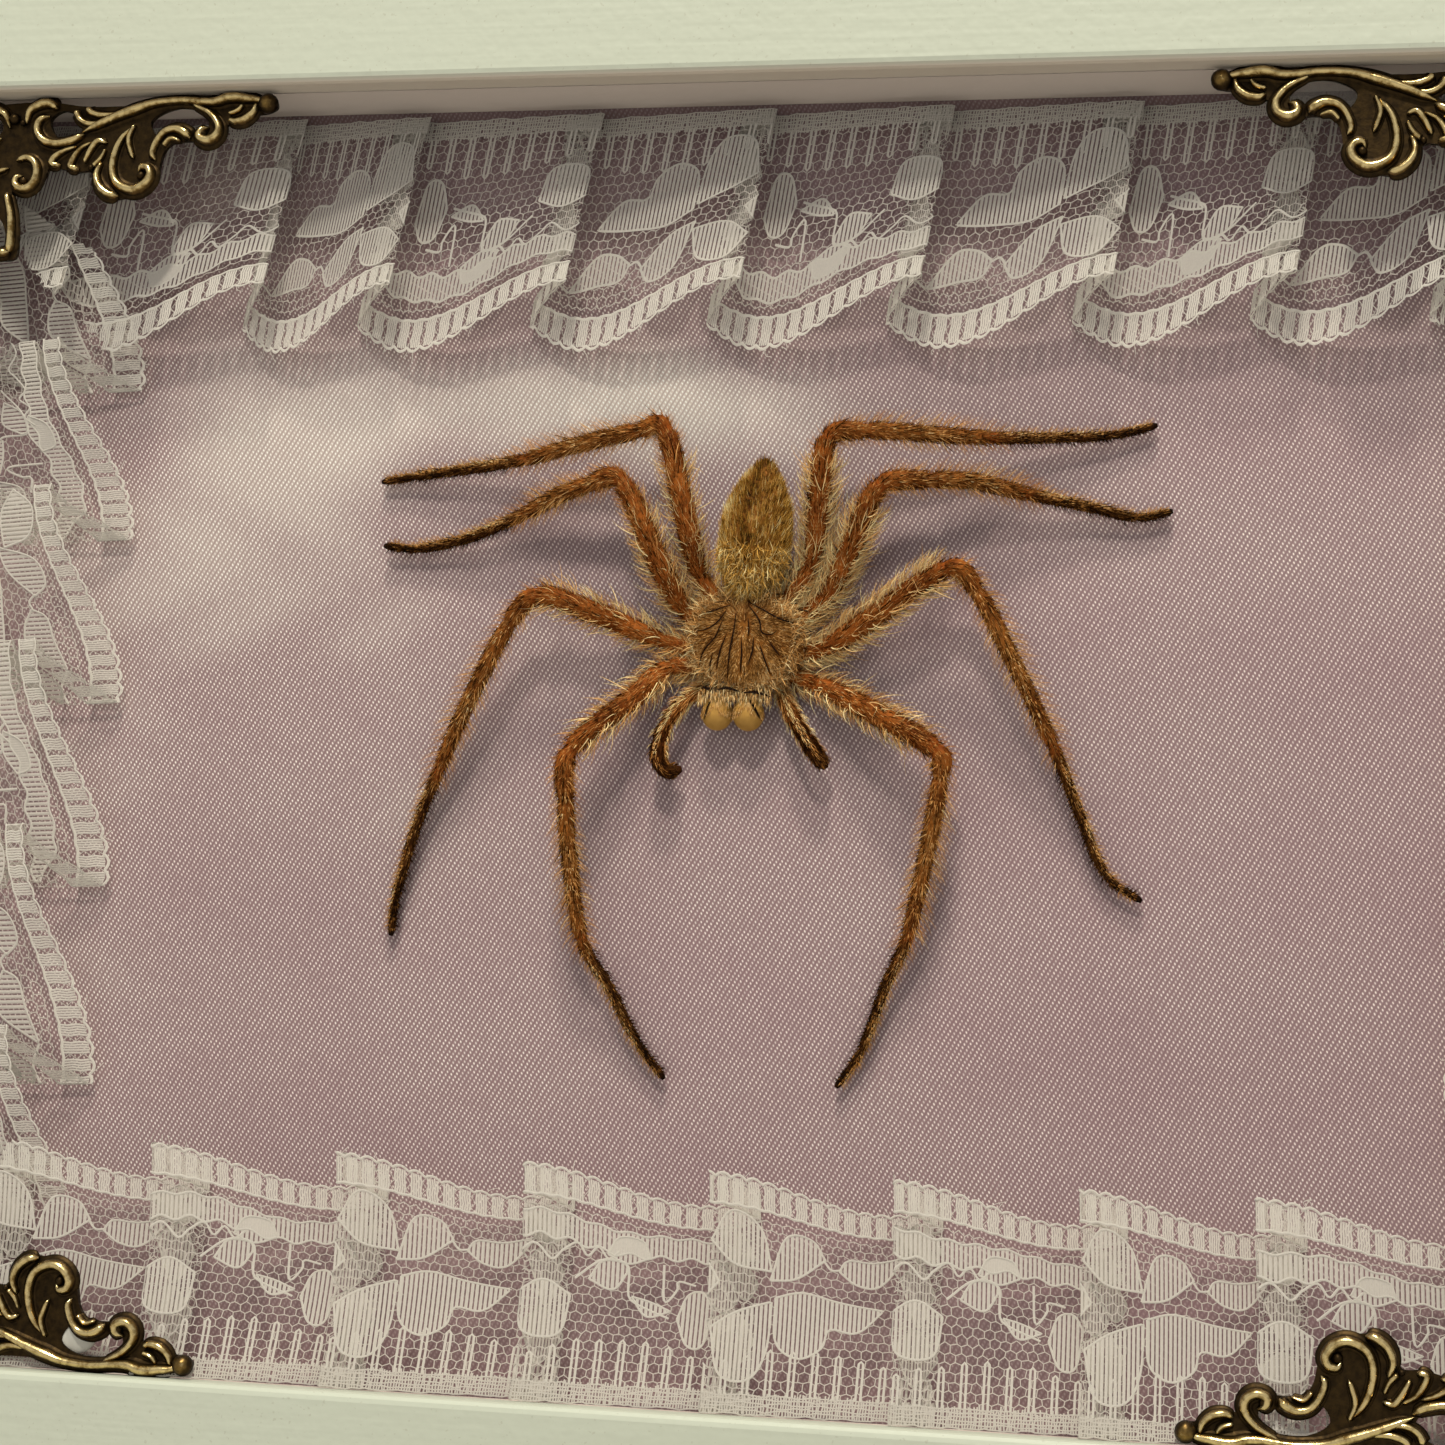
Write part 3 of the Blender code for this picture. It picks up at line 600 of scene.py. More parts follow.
def pleatCourse(spec, seed):
    # the folded line as arrays: pleat number with its fraction, place along the wall and height.
    # A pleat climbs from its low end to a fold and returns below itself; a running mean rounds the folds
    draw = np.random.default_rng(seed)
    numbers, alongs, heights = [], [], []
    low = spec["start"]
    for k, fold in enumerate(spec["folds"]):
        t = np.linspace(0, 1, 160, endpoint=False)
        rise = lace["rise"] * (1 + 0.08 * draw.uniform(-1, 1))
        climb = (0.5 - 0.5 * np.cos(np.pi * t)) * 0.6 + t * 0.4
        numbers.append(k + t * lace["foldShare"])
        alongs.append(low + (fold - low) * t)
        heights.append(lace["low"] + rise * climb)
        nextLow = fold - spec.get("overlap", lace["overlap"]) * (1 + 0.15 * draw.uniform(-1, 1))
        t = np.linspace(0, 1, 60, endpoint=False)
        numbers.append(k + lace["foldShare"] + t * (1 - lace["foldShare"]))
        alongs.append(fold + (nextLow - fold) * t)
        heights.append(lace["low"] + rise * (1 - t))
        low = nextLow
    number, along, height = (np.concatenate(a) for a in (numbers, alongs, heights))
    run = np.concatenate(([0], np.cumsum(np.hypot(np.diff(along), np.diff(height)))))
    even = np.arange(0, run[-1], 0.08)
    number, along, height = (np.interp(even, run, a) for a in (number, along, height))
    kernel = np.hanning(11)
    kernel /= kernel.sum()
    padded = [np.pad(a, 5, mode="edge") for a in (along, height)]
    along, height = (np.convolve(a, kernel, mode="valid") for a in padded)
    return number, along, height


def meanReach(spec):
    return (spec["long"] + spec["short"]) / 2 - spec["header"]


def edgeReach(spec, number):
    # how far in the border lies: one skewed cosine for each pleat, one extreme at the raised fold and
    # the other a share "peak" of the pleat later
    half = (spec["long"] - spec["short"]) / 2
    sign = 1 if spec["longRaised"] else -1
    u = (number - lace["foldShare"]) % 1.0
    phase = np.where(u < spec["peak"], u / spec["peak"], 1 + (u - spec["peak"]) / (1 - spec["peak"]))
    return meanReach(spec) + sign * half * np.cos(np.pi * phase)


class Cloth:
    # carries pattern places (p along in nominal mm, w across in nominal mm) to the folded ruffle
    def __init__(self, side, seed):
        self.spec = laceSides[side]
        self.number, self.along, self.height = pleatCourse(self.spec, seed)
        slopeA, slopeH = np.gradient(self.along), np.gradient(self.height)
        steep = np.hypot(slopeA, slopeH)
        self.normalA, self.normalH = -slopeH / steep, slopeA / steep
        self.length = len(self.spec["folds"]) * lace["pleat"]

    def place(self, p, w, lift):
        # the cloth follows the scallop more towards the border, and the folds open towards it too
        number = p / lace["pleat"]
        share = np.clip(w / lace["width"], 0, 1.1)
        middle = meanReach(self.spec)
        inward = w * middle / lace["width"] + (edgeReach(self.spec, number) - middle) * share ** 1.6
        along, height, normalA, normalH = (
            np.interp(number, self.number, a) for a in (self.along, self.height, self.normalA, self.normalH))
        opened = lace["headerShare"] + (1 - lace["headerShare"]) * share ** 0.8
        flutter = 0.22 * share ** 2 * np.sin(number * 13.1 + 2.0 * np.sin(number * 2.3))
        height = lace["low"] * (0.35 + 0.65 * share) + (height - lace["low"]) * opened + flutter * 0.5 + 0.1
        height = height + self.spec.get("lift", 0.0) * (1 - np.clip(share, 0, 1)) ** 2
        along = along + self.spec["lean"] * inward + lift * normalA
        return along, self.spec["header"] + inward, height + lift * normalH


def threadGrid(paths, width, lift, roof):
    # each path (n, m, 2) becomes a ribbon: its two edges stand half the width to either side of the
    # path, and its middle line is raised by roof. Returns (n, m, 3, 3): p, w and lift
    run = np.gradient(paths, axis=1)
    run /= np.maximum(np.linalg.norm(run, axis=2, keepdims=True), 1e-9)
    sideways = np.stack((-run[..., 1], run[..., 0]), -1)
    width = np.broadcast_to(np.asarray(width, dtype=float).reshape(-1, 1, 1), (len(paths), paths.shape[1], 1))
    rows = []
    for share in (-0.5, 0.0, 0.5):
        flat = paths + sideways * width * share
        raised = np.full(flat.shape[:2] + (1,), lift + (roof if share == 0.0 else 0.0))
        rows.append(np.concatenate((flat, raised), axis=2))
    return np.stack(rows, axis=2)


class Threads:
    # gathers ribbons of all kinds, and makes one mesh of them on the folded cloth
    def __init__(self):
        self.points = []
        self.quads = []
        self.kinds = []
        self.count = 0

    def gather(self, made, kind):
        n, m, across = made.shape[:3]
        self.points.append(made.reshape(-1, 3))
        self.quads.append(gridQuads(m, across, n) + self.count)
        self.kinds.append(np.full(n * m * across, kind))
        self.count += n * m * across

    def add(self, paths, width, lift, roof, kind):
        self.gather(threadGrid(paths, width, lift, roof), kind)

    def addFlat(self, paths, width, lift, kind):
        # thin threads of the net: the ribbon's two edges alone
        self.gather(threadGrid(paths, width, lift, 0.0)[:, :, (0, 2)], kind)

    def addLine(self, along, across, width=0.21, lift=0.05, roof=0.08, kind=0.9):
        # one long thread or cord
        self.add(np.stack((along, across), -1)[None], width, lift, roof, kind)

    def addRungs(self, along, low, high, count):
        # clothwork: parallel threads with count points each, from one edge to the other
        t = np.linspace(0, 1, count)
        rungs = np.stack((np.repeat(along[:, None], count, 1), low[:, None] + (high - low)[:, None] * t), -1)
        self.add(rungs, 0.27, 0.03, 0.05, 0.75)


def catmullRom(a, b, c, d, t):
    # the cubic from b to c whose slopes there are half of c - a and of d - b
    square, cube = 2 * a - 5 * b + 4 * c - d, 3 * b - a - 3 * c + d
    return 0.5 * (2 * b + (c - a) * t + square * t ** 2 + cube * t ** 3)


def smoothCurve(points, steps):
    # Catmull-Rom through the given points, steps samples between each two
    rows = np.array(points, dtype=float)
    padded = np.vstack((2 * rows[0] - rows[1], rows, 2 * rows[-1] - rows[-2]))[:, None]
    t = (np.arange(steps) / steps)[None, :, None]
    line = catmullRom(padded[:-3], padded[1:-2], padded[2:-1], padded[3:], t)
    return np.vstack((line.reshape(-1, rows.shape[1]), rows[-1]))


def pathLength(line):
    # how far each point lies along the line
    return np.concatenate(([0], np.cumsum(np.linalg.norm(np.diff(line, axis=0), axis=1))))


def samplePath(line, count):
    # the same line with count points at even distances
    run = pathLength(line)
    even = np.linspace(0, run[-1], count)
    return np.stack([np.interp(even, run, line[:, i]) for i in range(line.shape[1])], -1)


def curveThrough(points, count):
    return samplePath(smoothCurve(points, 8), count)


# One repeat of the pattern is two pleats. A petal is an upper and a lower outline from one tip to the
# other, as (p, w) in nominal millimetres; p counts from the start of the pleat named by its number
petals = [
    # big flower of the first pleat, its middle at p 14.6
    (0, [(15.1, 11.6), (13.8, 15.6), (11.6, 16.0), (10.4, 14.4)], [(15.1, 11.6), (12.8, 12.2), (10.4, 14.4)]),
    (0, [(9.2, 13.6), (8.4, 14.8), (6.2, 14.9), (3.4, 15.6)],
     [(9.2, 13.6), (7.6, 12.5), (5.6, 12.6), (3.4, 15.6)]),
    (0, [(14.6, 10.2), (12.2, 11.0), (9.0, 10.6), (5.2, 10.2)],
     [(14.6, 10.2), (14.4, 6.4), (12.4, 5.1), (10.4, 6.2), (9.8, 8.0), (7.4, 7.9), (5.2, 10.2)]),
    (0, [(20.2, 7.2), (18.0, 8.6), (14.9, 9.8)],
     [(20.2, 7.2), (19.2, 3.4), (16.6, 3.0), (15.2, 5.4), (14.9, 9.8)]),
    (0, [(20.4, 14.4), (18.6, 17.0), (16.0, 15.9), (15.0, 12.4)], [(20.4, 14.4), (18.2, 12.6), (15.0, 12.4)]),
    (0, [(24.4, 9.4), (23.0, 12.2), (20.9, 12.6), (19.6, 11.0)], [(24.4, 9.4), (22.4, 8.4), (19.6, 11.0)]),
    (0, [(26.2, 13.8), (24.6, 15.4), (22.0, 15.2)], [(26.2, 13.8), (24.2, 12.6), (22.0, 15.2)]),
    # small flower, leaf and round petal of the second pleat
    (1, [(14.7, 10.9), (13.6, 12.7), (11.8, 12.9), (11.4, 12.2)], [(14.7, 10.9), (12.6, 10.3), (11.4, 12.2)]),
    (1, [(11.0, 9.9), (9.4, 9.6), (7.6, 8.9)], [(11.0, 9.9), (9.6, 8.2), (7.6, 8.9)]),
    (1, [(7.0, 8.2), (6.2, 10.6), (4.9, 10.9), (4.0, 9.4)], [(7.0, 8.2), (6.0, 5.8), (4.6, 5.9), (4.0, 9.4)]),
    (1, [(13.2, 13.4), (12.2, 15.2), (10.2, 15.3), (9.6, 13.8)], [(13.2, 13.4), (11.4, 12.9), (9.6, 13.8)]),
    (1, [(20.9, 9.2), (18.6, 10.4), (16.2, 9.3)], [(20.9, 9.2), (20.2, 6.0), (17.0, 5.9), (16.2, 9.3)]),
    (1, [(26.0, 11.2), (24.2, 13.6), (21.6, 12.0)], [(26.0, 11.2), (24.0, 8.2), (21.6, 12.0)]),
    # leaves on the climbing panels, which make the folds dense
    (0, [(26.9, 6.2), (24.4, 8.6), (20.9, 7.6)], [(26.9, 6.2), (24.0, 3.4), (20.9, 7.6)]),
    (1, [(26.9, 5.6), (24.0, 7.9), (21.0, 6.6)], [(26.9, 5.6), (23.8, 3.2), (21.0, 6.6)]),
    (1, [(26.8, 15.4), (24.4, 17.0), (21.2, 15.0)], [(26.8, 15.4), (24.0, 13.6), (21.2, 15.0)]),
    (0, [(26.9, 11.4), (25.0, 12.9), (22.0, 12.3)], [(26.9, 11.4), (25.2, 9.8), (22.0, 12.3)]),
]
vines = [
    (0, [(10.5, 14.3), (9.9, 13.6), (9.2, 13.7)]),
    (0, [(3.4, 15.6), (1.6, 15.0), (0.0, 15.9)]),
    (1, [(15.9, 10.8), (13.6, 12.8), (11.5, 12.8), (11.3, 10.3), (10.8, 9.4), (7.7, 8.2)]),
    (1, [(17.1, 13.0), (15.8, 13.9), (14.9, 12.9), (14.0, 13.9), (13.1, 13.0), (12.2, 13.9)]),
    (1, [(8.4, 13.4), (8.2, 9.8), (7.2, 11.0), (7.1, 11.9), (5.6, 11.6)]),
    (1, [(21.5, 12.0), (19.6, 13.4), (18.0, 12.2), (17.1, 13.0)]),
]


def edgeAt(p, edge):
    # the height of an outline at the places p
    order = np.argsort(edge[:, 0])
    return np.interp(p, edge[order, 0], edge[order, 1])


def addPetals(threads, pleats):
    # clothwork threads run across the ribbon between the two outlines, and a cord follows the outline.
    # Returns what each petal covers: places along, and its lower and upper edge there
    cover = []
    for kind, upper, lower in petals:
        high, low = curveThrough(upper, 60), curveThrough(lower, 60)
        left = max(high[:, 0].min(), low[:, 0].min())
        right = min(high[:, 0].max(), low[:, 0].max())
        p = np.arange(left + 0.08, right, lace["threadPitch"])
        wHigh, wLow = edgeAt(p, high), edgeAt(p, low)
        outline = samplePath(np.vstack((high, low[::-1])), 64)
        for k in range(kind, pleats, 2):
            shift = k * lace["pleat"]
            threads.addRungs(p + shift, wLow, wHigh, 7)
            threads.addLine(outline[:, 0] + shift, outline[:, 1], width=0.20, kind=0.85)
            cover.append((p + shift, wLow, wHigh))
    for kind, points in vines:
        line = curveThrough(points, 28)
        for k in range(kind, pleats, 2):
            threads.addLine(line[:, 0] + k * lace["pleat"], line[:, 1])
    return cover


def bandLimits(p):
    # the cloth band below the border: full width in the second pleat, narrow and waved in the first
    phase = (p / lace["pleat"]) % 2
    full = np.clip(np.minimum(phase - 1.0, 2.0 - phase) * 8, 0, 1)
    wave = 0.22 * np.sin(p * 2 * np.pi / 2.6)
    low = 13.9 + 0.25 * np.sin(p * 0.5) + wave
    high = low + 2.1 * full - wave * 0.4
    return low, high, full


def addBand(threads, pleats, length):
    # the cloth band with a cord along both of its edges
    p = np.arange(0.1, length, lace["threadPitch"])
    low, high, full = bandLimits(p)
    keep = full > 0.15
    threads.addRungs(p[keep], low[keep], high[keep], 4)
    fine = np.arange(0.0, length, 0.22)
    low, high, full = bandLimits(fine)
    for k in range(1, pleats, 2):
        inside = (fine > k * lace["pleat"] + 0.5) & (fine < (k + 1) * lace["pleat"] - 0.5)
        for edge in (low, high):
            threads.addLine(fine[inside], edge[inside])


def addLadder(threads, length):
    # the border: blocks of close threads, open slits with a few crossing threads, a cord on the inner
    # side, and an outer cord that swells into a picot beyond each block
    pitch = lace["ladderPitch"]
    inner, outer = lace["ladder"]
    starts = np.arange(0.0, length, pitch)
    p = (starts[:, None] + np.linspace(0.04, 0.84, 5)[None]).ravel()[:, None]
    t = np.linspace(0, 1, 4)
    blocks = np.broadcast_arrays(p + 0.05 * np.sin(9 * t + p), inner + (outer - inner) * t)
    threads.add(np.stack(blocks, -1), 0.16, 0.03, 0.05, 0.95)
    zigzag = np.array((-0.2, 0.2, -0.2, 0.2, -0.2))
    slits = np.broadcast_arrays((starts + 1.12)[:, None] + zigzag, np.linspace(inner, outer, 5))
    threads.add(np.stack(slits, -1), 0.08, 0.0, 0.02, 0.5)
    fine = np.arange(0.0, length, 0.115)
    picots = 19.62 + 0.36 * np.abs(np.sin((fine - 0.38) * np.pi / pitch + np.pi / 2)) ** 0.8
    for cord in (inner + 0.05 * np.sin(fine * 4.5), picots):
        threads.addLine(fine, cord, 0.24, 0.06, 0.09, 1.0)


def addStrays(threads, length, draw):
    # loose fibres that leave the border: short curved threads
    count = int(length / 2.6)
    start = np.stack((draw.uniform(0, length, count), draw.uniform(19.4, 20.0, count)), -1)
    way = np.stack((draw.normal(0, 0.7, count), draw.uniform(0.2, 1.3, count)), -1)
    bow = draw.normal(0, 0.5, (count, 2))
    t = np.linspace(0, 1, 6)[None, :, None]
    threads.addFlat(start[:, None] + way[:, None] * t + bow[:, None] * t * (1 - t) * 1.5, 0.05, 0.1, 0.7)


def addHeader(threads, length, draw):
    # dense header cloth, its selvedge cord, and a comb of double bars whose height follows a wave
    p = np.arange(0.05, length, 0.24)
    t = np.linspace(0, 1, 4)
    wander = 0.05 * draw.normal(0, 1, (len(p), 4))
    high = 1.75 + 0.12 * draw.normal(0, 1, (len(p), 1))
    threads.add(np.stack((p[:, None] + wander, 0.1 + high * t[None]), -1), 0.15, 0.02, 0.03, 0.55)
    fine = np.arange(0.0, length, 0.4)
    for w in (0.10, 0.42, 0.74, 1.06, 1.38, 1.70):
        line = w + 0.06 * np.sin(fine * 1.9 + w * 9) + 0.03 * draw.normal(0, 1, len(fine))
        threads.addLine(fine, line, 0.13, 0.04, 0.03, 0.6)
    bars = np.arange(0.6, length, lace["combPitch"])
    tall = 2.9 + 1.15 * np.cos(2 * np.pi * (bars / lace["pleat"] - 0.42)) + draw.uniform(-0.2, 0.2, len(bars))
    # one double bar: up on one side, round the top and down on the other
    half = 0.21
    across = half * np.array((-1, -1, -1, -1, -0.9, 0, 0.9, 1, 1, 1, 1))
    along = np.array((0, 0.25, 0.5, 0.75, 0.96, 1.02, 0.96, 0.75, 0.5, 0.25, 0))
    threads.add(np.stack((bars[:, None] + across, 1.7 + tall[:, None] * along), -1), 0.22, 0.04, 0.06, 0.8)


def covered(p, w, cover):
    # True where clothwork hides the net: inside a petal or the band
    low, high, full = bandLimits(p)
    hidden = (full > 0.3) & (w > low) & (w < high)
    for along, wLow, wHigh in cover:
        near = np.nonzero((p >= along[0]) & (p <= along[-1]))
        over = w[near] > np.interp(p[near], along, wLow)
        hidden[near] |= over & (w[near] < np.interp(p[near], along, wHigh))
    return hidden


def addNet(threads, length, cover, draw):
    # hexagonal net: zigzag rows joined by short upright threads
    half = lace["netPitch"] / 2
    columns = np.arange(0, int(length / half))
    rows = np.arange(0, int(16.0 / lace["netRow"]))
    p = columns * half
    drift = draw.normal(0, 0.05, (len(rows), len(columns), 2))
    w = 1.35 + rows[:, None] * lace["netRow"] + np.where((columns[None] + rows[:, None]) % 2, 0.22, 0.0)
    points = np.stack((np.broadcast_to(p, w.shape), w), -1) + drift
    zig = np.stack((points[:, :-1], points[:, 1:]), axis=2).reshape(-1, 2, 2)
    up = (columns[None, :] + rows[:-1, None]) % 2 == 1
    posts = np.stack((points[:-1][up], points[1:][up]), axis=1)
    edges = np.concatenate((zig, posts))
    middle = edges.mean(axis=1)
    keep = ~covered(middle[:, 0], middle[:, 1], cover) & (middle[:, 1] < 17.3)
    threads.addFlat(edges[keep], 0.088, 0.0, 0.38)


def mitreKeep(side, along, inward):
    # the strips meet at the corners: the long ones are cut along a diagonal, the upright ones lie on them
    half = sight["halfWidth"] if side in ("top", "bottom") else sight["halfHeight"]
    return np.abs(along) < half - laceSides[side]["slant"] * inward - 0.4


def laceMaterial():
    # white cotton: brighter where threads lie close; some of the light passes through the threads, and
    # round threads catch the front light on any slope, so the shading leans to the front
    made = Nodes("whiteLace")
    where = made.places()
    slope = made.add("ShaderNodeNewGeometry").outputs["Normal"]
    lean = made.add("ShaderNodeVectorMath", {"operation": "ADD"}, i0=slope, i1=(0.0, -1.8, 0.0))
    facing = made.add("ShaderNodeVectorMath", {"operation": "NORMALIZE"}, i0=lean.outputs[0]).outputs[0]
    fibre = made.noise(where, 5200.0, 2.0, 0.6)
    kind = made.value("dense")
    base = made.mix(kind, srgb(210, 198, 187), srgb(249, 242, 229))
    base = made.mix(made.times(fibre, 0.30), base, srgb(176, 162, 156))
    made.finish(Base_Color=base, Roughness=0.75, Specular_IOR_Level=0.2, Normal=facing)
    through = made.add("ShaderNodeBsdfTranslucent", {}, Color=base)
    both = made.add("ShaderNodeMixShader", {}, i0=0.35, i1=made.shader.outputs[0], i2=through.outputs[0])
    path = made.add("ShaderNodeLightPath")
    return made.letThrough(made.times(path.outputs["Is Shadow Ray"], 0.25), both)


def addLace(side, number, material):
    # the pattern is drawn flat as threads, carried to the folds, and cut at the corners
    cloth = Cloth(side, lace["seed"] + number)
    draw = np.random.default_rng(lace["seed"] * 10 + number)
    threads = Threads()
    pleats = len(cloth.spec["folds"])
    cover = addPetals(threads, pleats)
    addBand(threads, pleats, cloth.length)
    addLadder(threads, cloth.length)
    addStrays(threads, cloth.length, draw)
    addHeader(threads, cloth.length, draw)
    addNet(threads, cloth.length, cover, draw)
    flat, quads, dense = (np.concatenate(parts) for parts in (threads.points, threads.quads, threads.kinds))
    along, inward, height = cloth.place(flat[:, 0], flat[:, 1], flat[:, 2])
    keep = mitreKeep(side, along[quads].mean(axis=1), inward[quads].mean(axis=1))
    keep &= (flat[quads, 0].min(axis=1) > 0) & (flat[quads, 0].max(axis=1) < cloth.length)
    used, quads = np.unique(quads[keep], return_inverse=True)
    quads = quads.reshape(-1, 4)
    if side in ("top", "left"):
        quads = quads[:, ::-1]
    points = sidePlace(side, along, inward, height)[used]
    values = {"dense": dense[used]}
    piece = addPiece(f"laceRuffle_{side}", points, quads, material, "white_lace", values)
    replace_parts(piece, f"lace_{side}")
    # the cloth of the strip is the area of its threads: half the cross product of each quad's diagonals
    corners = flat[used][quads][:, :, :2]
    (a, b), (c, d) = ((corners[:, i + 2] - corners[:, i]).T for i in (0, 1))
    size = (cloth.length * mm, meanReach(cloth.spec) * mm)
    area = 0.5 * np.abs(a * d - b * c).sum() * meanReach(cloth.spec) / lace["width"] * mm ** 2


def addRuffles():
    material = laceMaterial()
    for number, side in enumerate(laceSides):
        addLace(side, number, material)


# Spider

body = {
    "tilt": 5.9,  # of the whole body, in degrees
    "middle": (2.45, 8.7),  # of the carapace
    "halfWidth": 5.35,
    "halfLength": 4.7,
    "square": 2.7,  # 2 is an ellipse, more is squarer
    "rim": 2.2,
    "crown": 2.2,
    "fovea": 1.5,  # the pit from which the ribs radiate, behind the middle
    "ribs": 9.0,
    "abdomenFront": (2.50, 13.3),
    "abdomenRear": (3.65, 25.9),
    "abdomenHalfWidth": 3.20,
    "abdomenHalfHeight": 2.35,
    "abdomenHeight": 2.95,
    "coxaCircle": 3.65,
    "coxaHeight": 1.1,
    "carapaceDown": 15000,  # numbers of hairs
    "carapaceCurls": 2300,
    "waistHairs": 1500,
    "bareFurrow": 0.13,  # how far from a furrow the down starts
    "seed": 31,
}

# Each leg: the bearing of its coxa, then (across, up, height) of the trochanter, middle and end of the
# femur, end of the patella, middle and end of the tibia, middle and end of the metatarsus, tarsus tip
legs = {
    "right_1": (-38, [(-5.0, 6.5, 1.3), (-7.6, 3.5, 3.0), (-12.9, -1.8, 5.0), (-13.1, -6.5, 4.8),
                      (-12.7, -11.5, 4.1), (-11.4, -18.9, 3.0), (-9.0, -22.9, 2.0), (-6.2, -27.9, 1.1),
                      (-3.6, -31.1, 0.8)]),
    "right_2": (-8, [(-5.8, 9.1, 1.3), (-12.1, 11.3, 4.2), (-16.9, 12.5, 4.9), (-19.6, 9.7, 4.5),
                     (-23.2, 3.0, 3.4), (-26.2, -3.7, 2.2), (-28.3, -8.9, 1.4), (-30.0, -15.4, 0.9),
                     (-30.3, -19.0, 0.8)]),
    "right_3": (24, [(-3.7, 11.9, 1.3), (-5.7, 15.7, 3.8), (-9.4, 23.2, 4.9), (-12.5, 23.0, 4.6),
                     (-16.0, 22.0, 3.6), (-19.1, 20.7, 2.5), (-24.7, 18.6, 1.4), (-29.9, 17.6, 0.9),
                     (-33.2, 17.8, 1.1)]),
    "right_4": (54, [(-2.4, 15.2, 1.4), (-3.4, 19.9, 4.0), (-5.5, 28.0, 5.0), (-8.1, 28.0, 4.8),
                     (-13.8, 27.0, 3.8), (-19.4, 25.8, 2.7), (-25.2, 25.1, 1.6), (-30.6, 24.5, 1.0),
                     (-33.9, 24.0, 0.8)]),
    "left_1": (-38, [(8.9, 5.2, 1.3), (14.3, 2.6, 3.4), (20.7, -1.1, 5.0), (21.1, -3.5, 4.8),
                     (20.2, -9.3, 3.9), (18.4, -17.6, 2.6), (16.6, -21.7, 1.7), (14.4, -27.8, 1.0),
                     (12.2, -31.2, 0.8)]),
    "left_2": (-8, [(9.3, 8.4, 1.3), (13.9, 10.8, 3.4), (21.0, 15.3, 4.9), (23.8, 13.3, 4.6),
                    (26.9, 7.6, 3.9), (30.8, -0.2, 2.4), (32.9, -5.3, 1.4), (35.6, -11.3, 0.9),
                    (38.9, -13.7, 0.8)]),
    "left_3": (24, [(9.6, 13.4, 1.4), (12.3, 18.2, 3.6), (14.7, 22.9, 4.9), (19.2, 23.5, 4.5),
                    (23.0, 23.6, 3.5), (27.7, 22.7, 2.5), (32.9, 21.8, 1.4), (37.5, 20.9, 0.9),
                    (40.7, 21.5, 0.8)]),
    "left_4": (54, [(7.9, 16.1, 1.5), (9.0, 22.0, 4.2), (9.8, 27.3, 5.0), (13.2, 28.0, 4.8),
                    (18.5, 27.9, 3.9), (24.3, 27.8, 2.7), (30.2, 28.1, 1.5), (34.9, 28.4, 1.0),
                    (39.1, 29.4, 0.8)]),
}
palps = {
    "right": [(-0.9, 5.2, 1.2), (-3.3, 3.2, 1.8), (-4.8, 0.6, 2.5), (-5.2, -1.9, 2.6), (-4.4, -3.2, 2.2),
              (-3.1, -2.9, 1.9)],
    "left": [(5.5, 5.0, 1.2), (6.7, 2.6, 1.8), (7.8, 0.9, 2.3), (9.2, -1.1, 2.4), (10.3, -2.6, 2.0)],
}

# Along a leg, counted in stations from the coxa: bare half width, tone (dark 0 to pale 1) and redness
legCourse = {
    "station": (0, 1, 1.5, 2, 3, 3.5, 4, 5, 6, 6.2, 7, 8, 9),
    "halfWidth": (0.62, 0.78, 0.95, 1.00, 0.86, 0.88, 0.76, 0.72, 0.60, 0.50, 0.46, 0.38, 0.30),
    "tone": (0.52, 0.55, 0.52, 0.50, 0.44, 0.50, 0.46, 0.50, 0.44, 0.26, 0.18, 0.10, 0.05),
    "red": (0.4, 0.5, 0.42, 0.38, 0.4, 0.28, 0.3, 0.10, 0.3, 0.15, 0.05, 0.05, 0.05),
    "fringeAt": (0, 1, 2, 3, 4, 5, 6, 9),
    "fringe": (0.8, 1.0, 0.85, 0.7, 0.9, 1.1, 1.0, 0.75),
    "joints": (1.0, 3.0, 4.0, 6.0, 8.0),
    "flat": 0.86,
    "rings": 150,
    "sides": 20,
}
hairKinds = {
    # number on a whole leg, least and most length, lean from the surface's normal in degrees, width, curl
    "down": {"count": 9000, "length": (0.25, 0.60), "lean": 62, "width": 0.062, "curl": 0.9},
    "fringe": {"count": 2900, "length": (0.8, 2.1), "lean": 24, "width": 0.036, "curl": 0.5},
    "mane": {"count": 560, "length": (1.6, 3.2), "lean": 26, "width": 0.085, "curl": 1.2},
    "streak": {"count": 430, "length": (0.7, 1.3), "lean": 76, "width": 0.080, "curl": 0.9},
    "spine": {"count": 16, "length": (1.6, 2.2), "lean": 50, "width": 0.12, "curl": 0.25},
}
# colours from tone 0 to tone 1, and the tones where they stand
hairTones = {
    "at": (0.0, 0.22, 0.5, 0.75, 1.0),
    "plain": ((31, 16, 3), (92, 59, 28), (170, 117, 58), (232, 176, 108), (255, 232, 176)),
    "warm": ((36, 12, 1), (104, 45, 12), (190, 97, 34), (234, 148, 70), (255, 212, 121)),
    "green": ((27, 18, 3), (79, 57, 18), (155, 110, 42), (226, 173, 83), (255, 232, 168)),
}
skinTones = {
    "at": (0.0, 0.3, 0.6, 1.0),
    "plain": ((25, 12, 3), (89, 49, 15), (155, 98, 41), (234, 181, 110)),
    "warm": ((31, 10, 2), (116, 43, 8), (193, 87, 26), (248, 165, 89)),
}


def unit(vectors):
    return vectors / np.maximum(np.linalg.norm(vectors, axis=-1, keepdims=True), 1e-9)


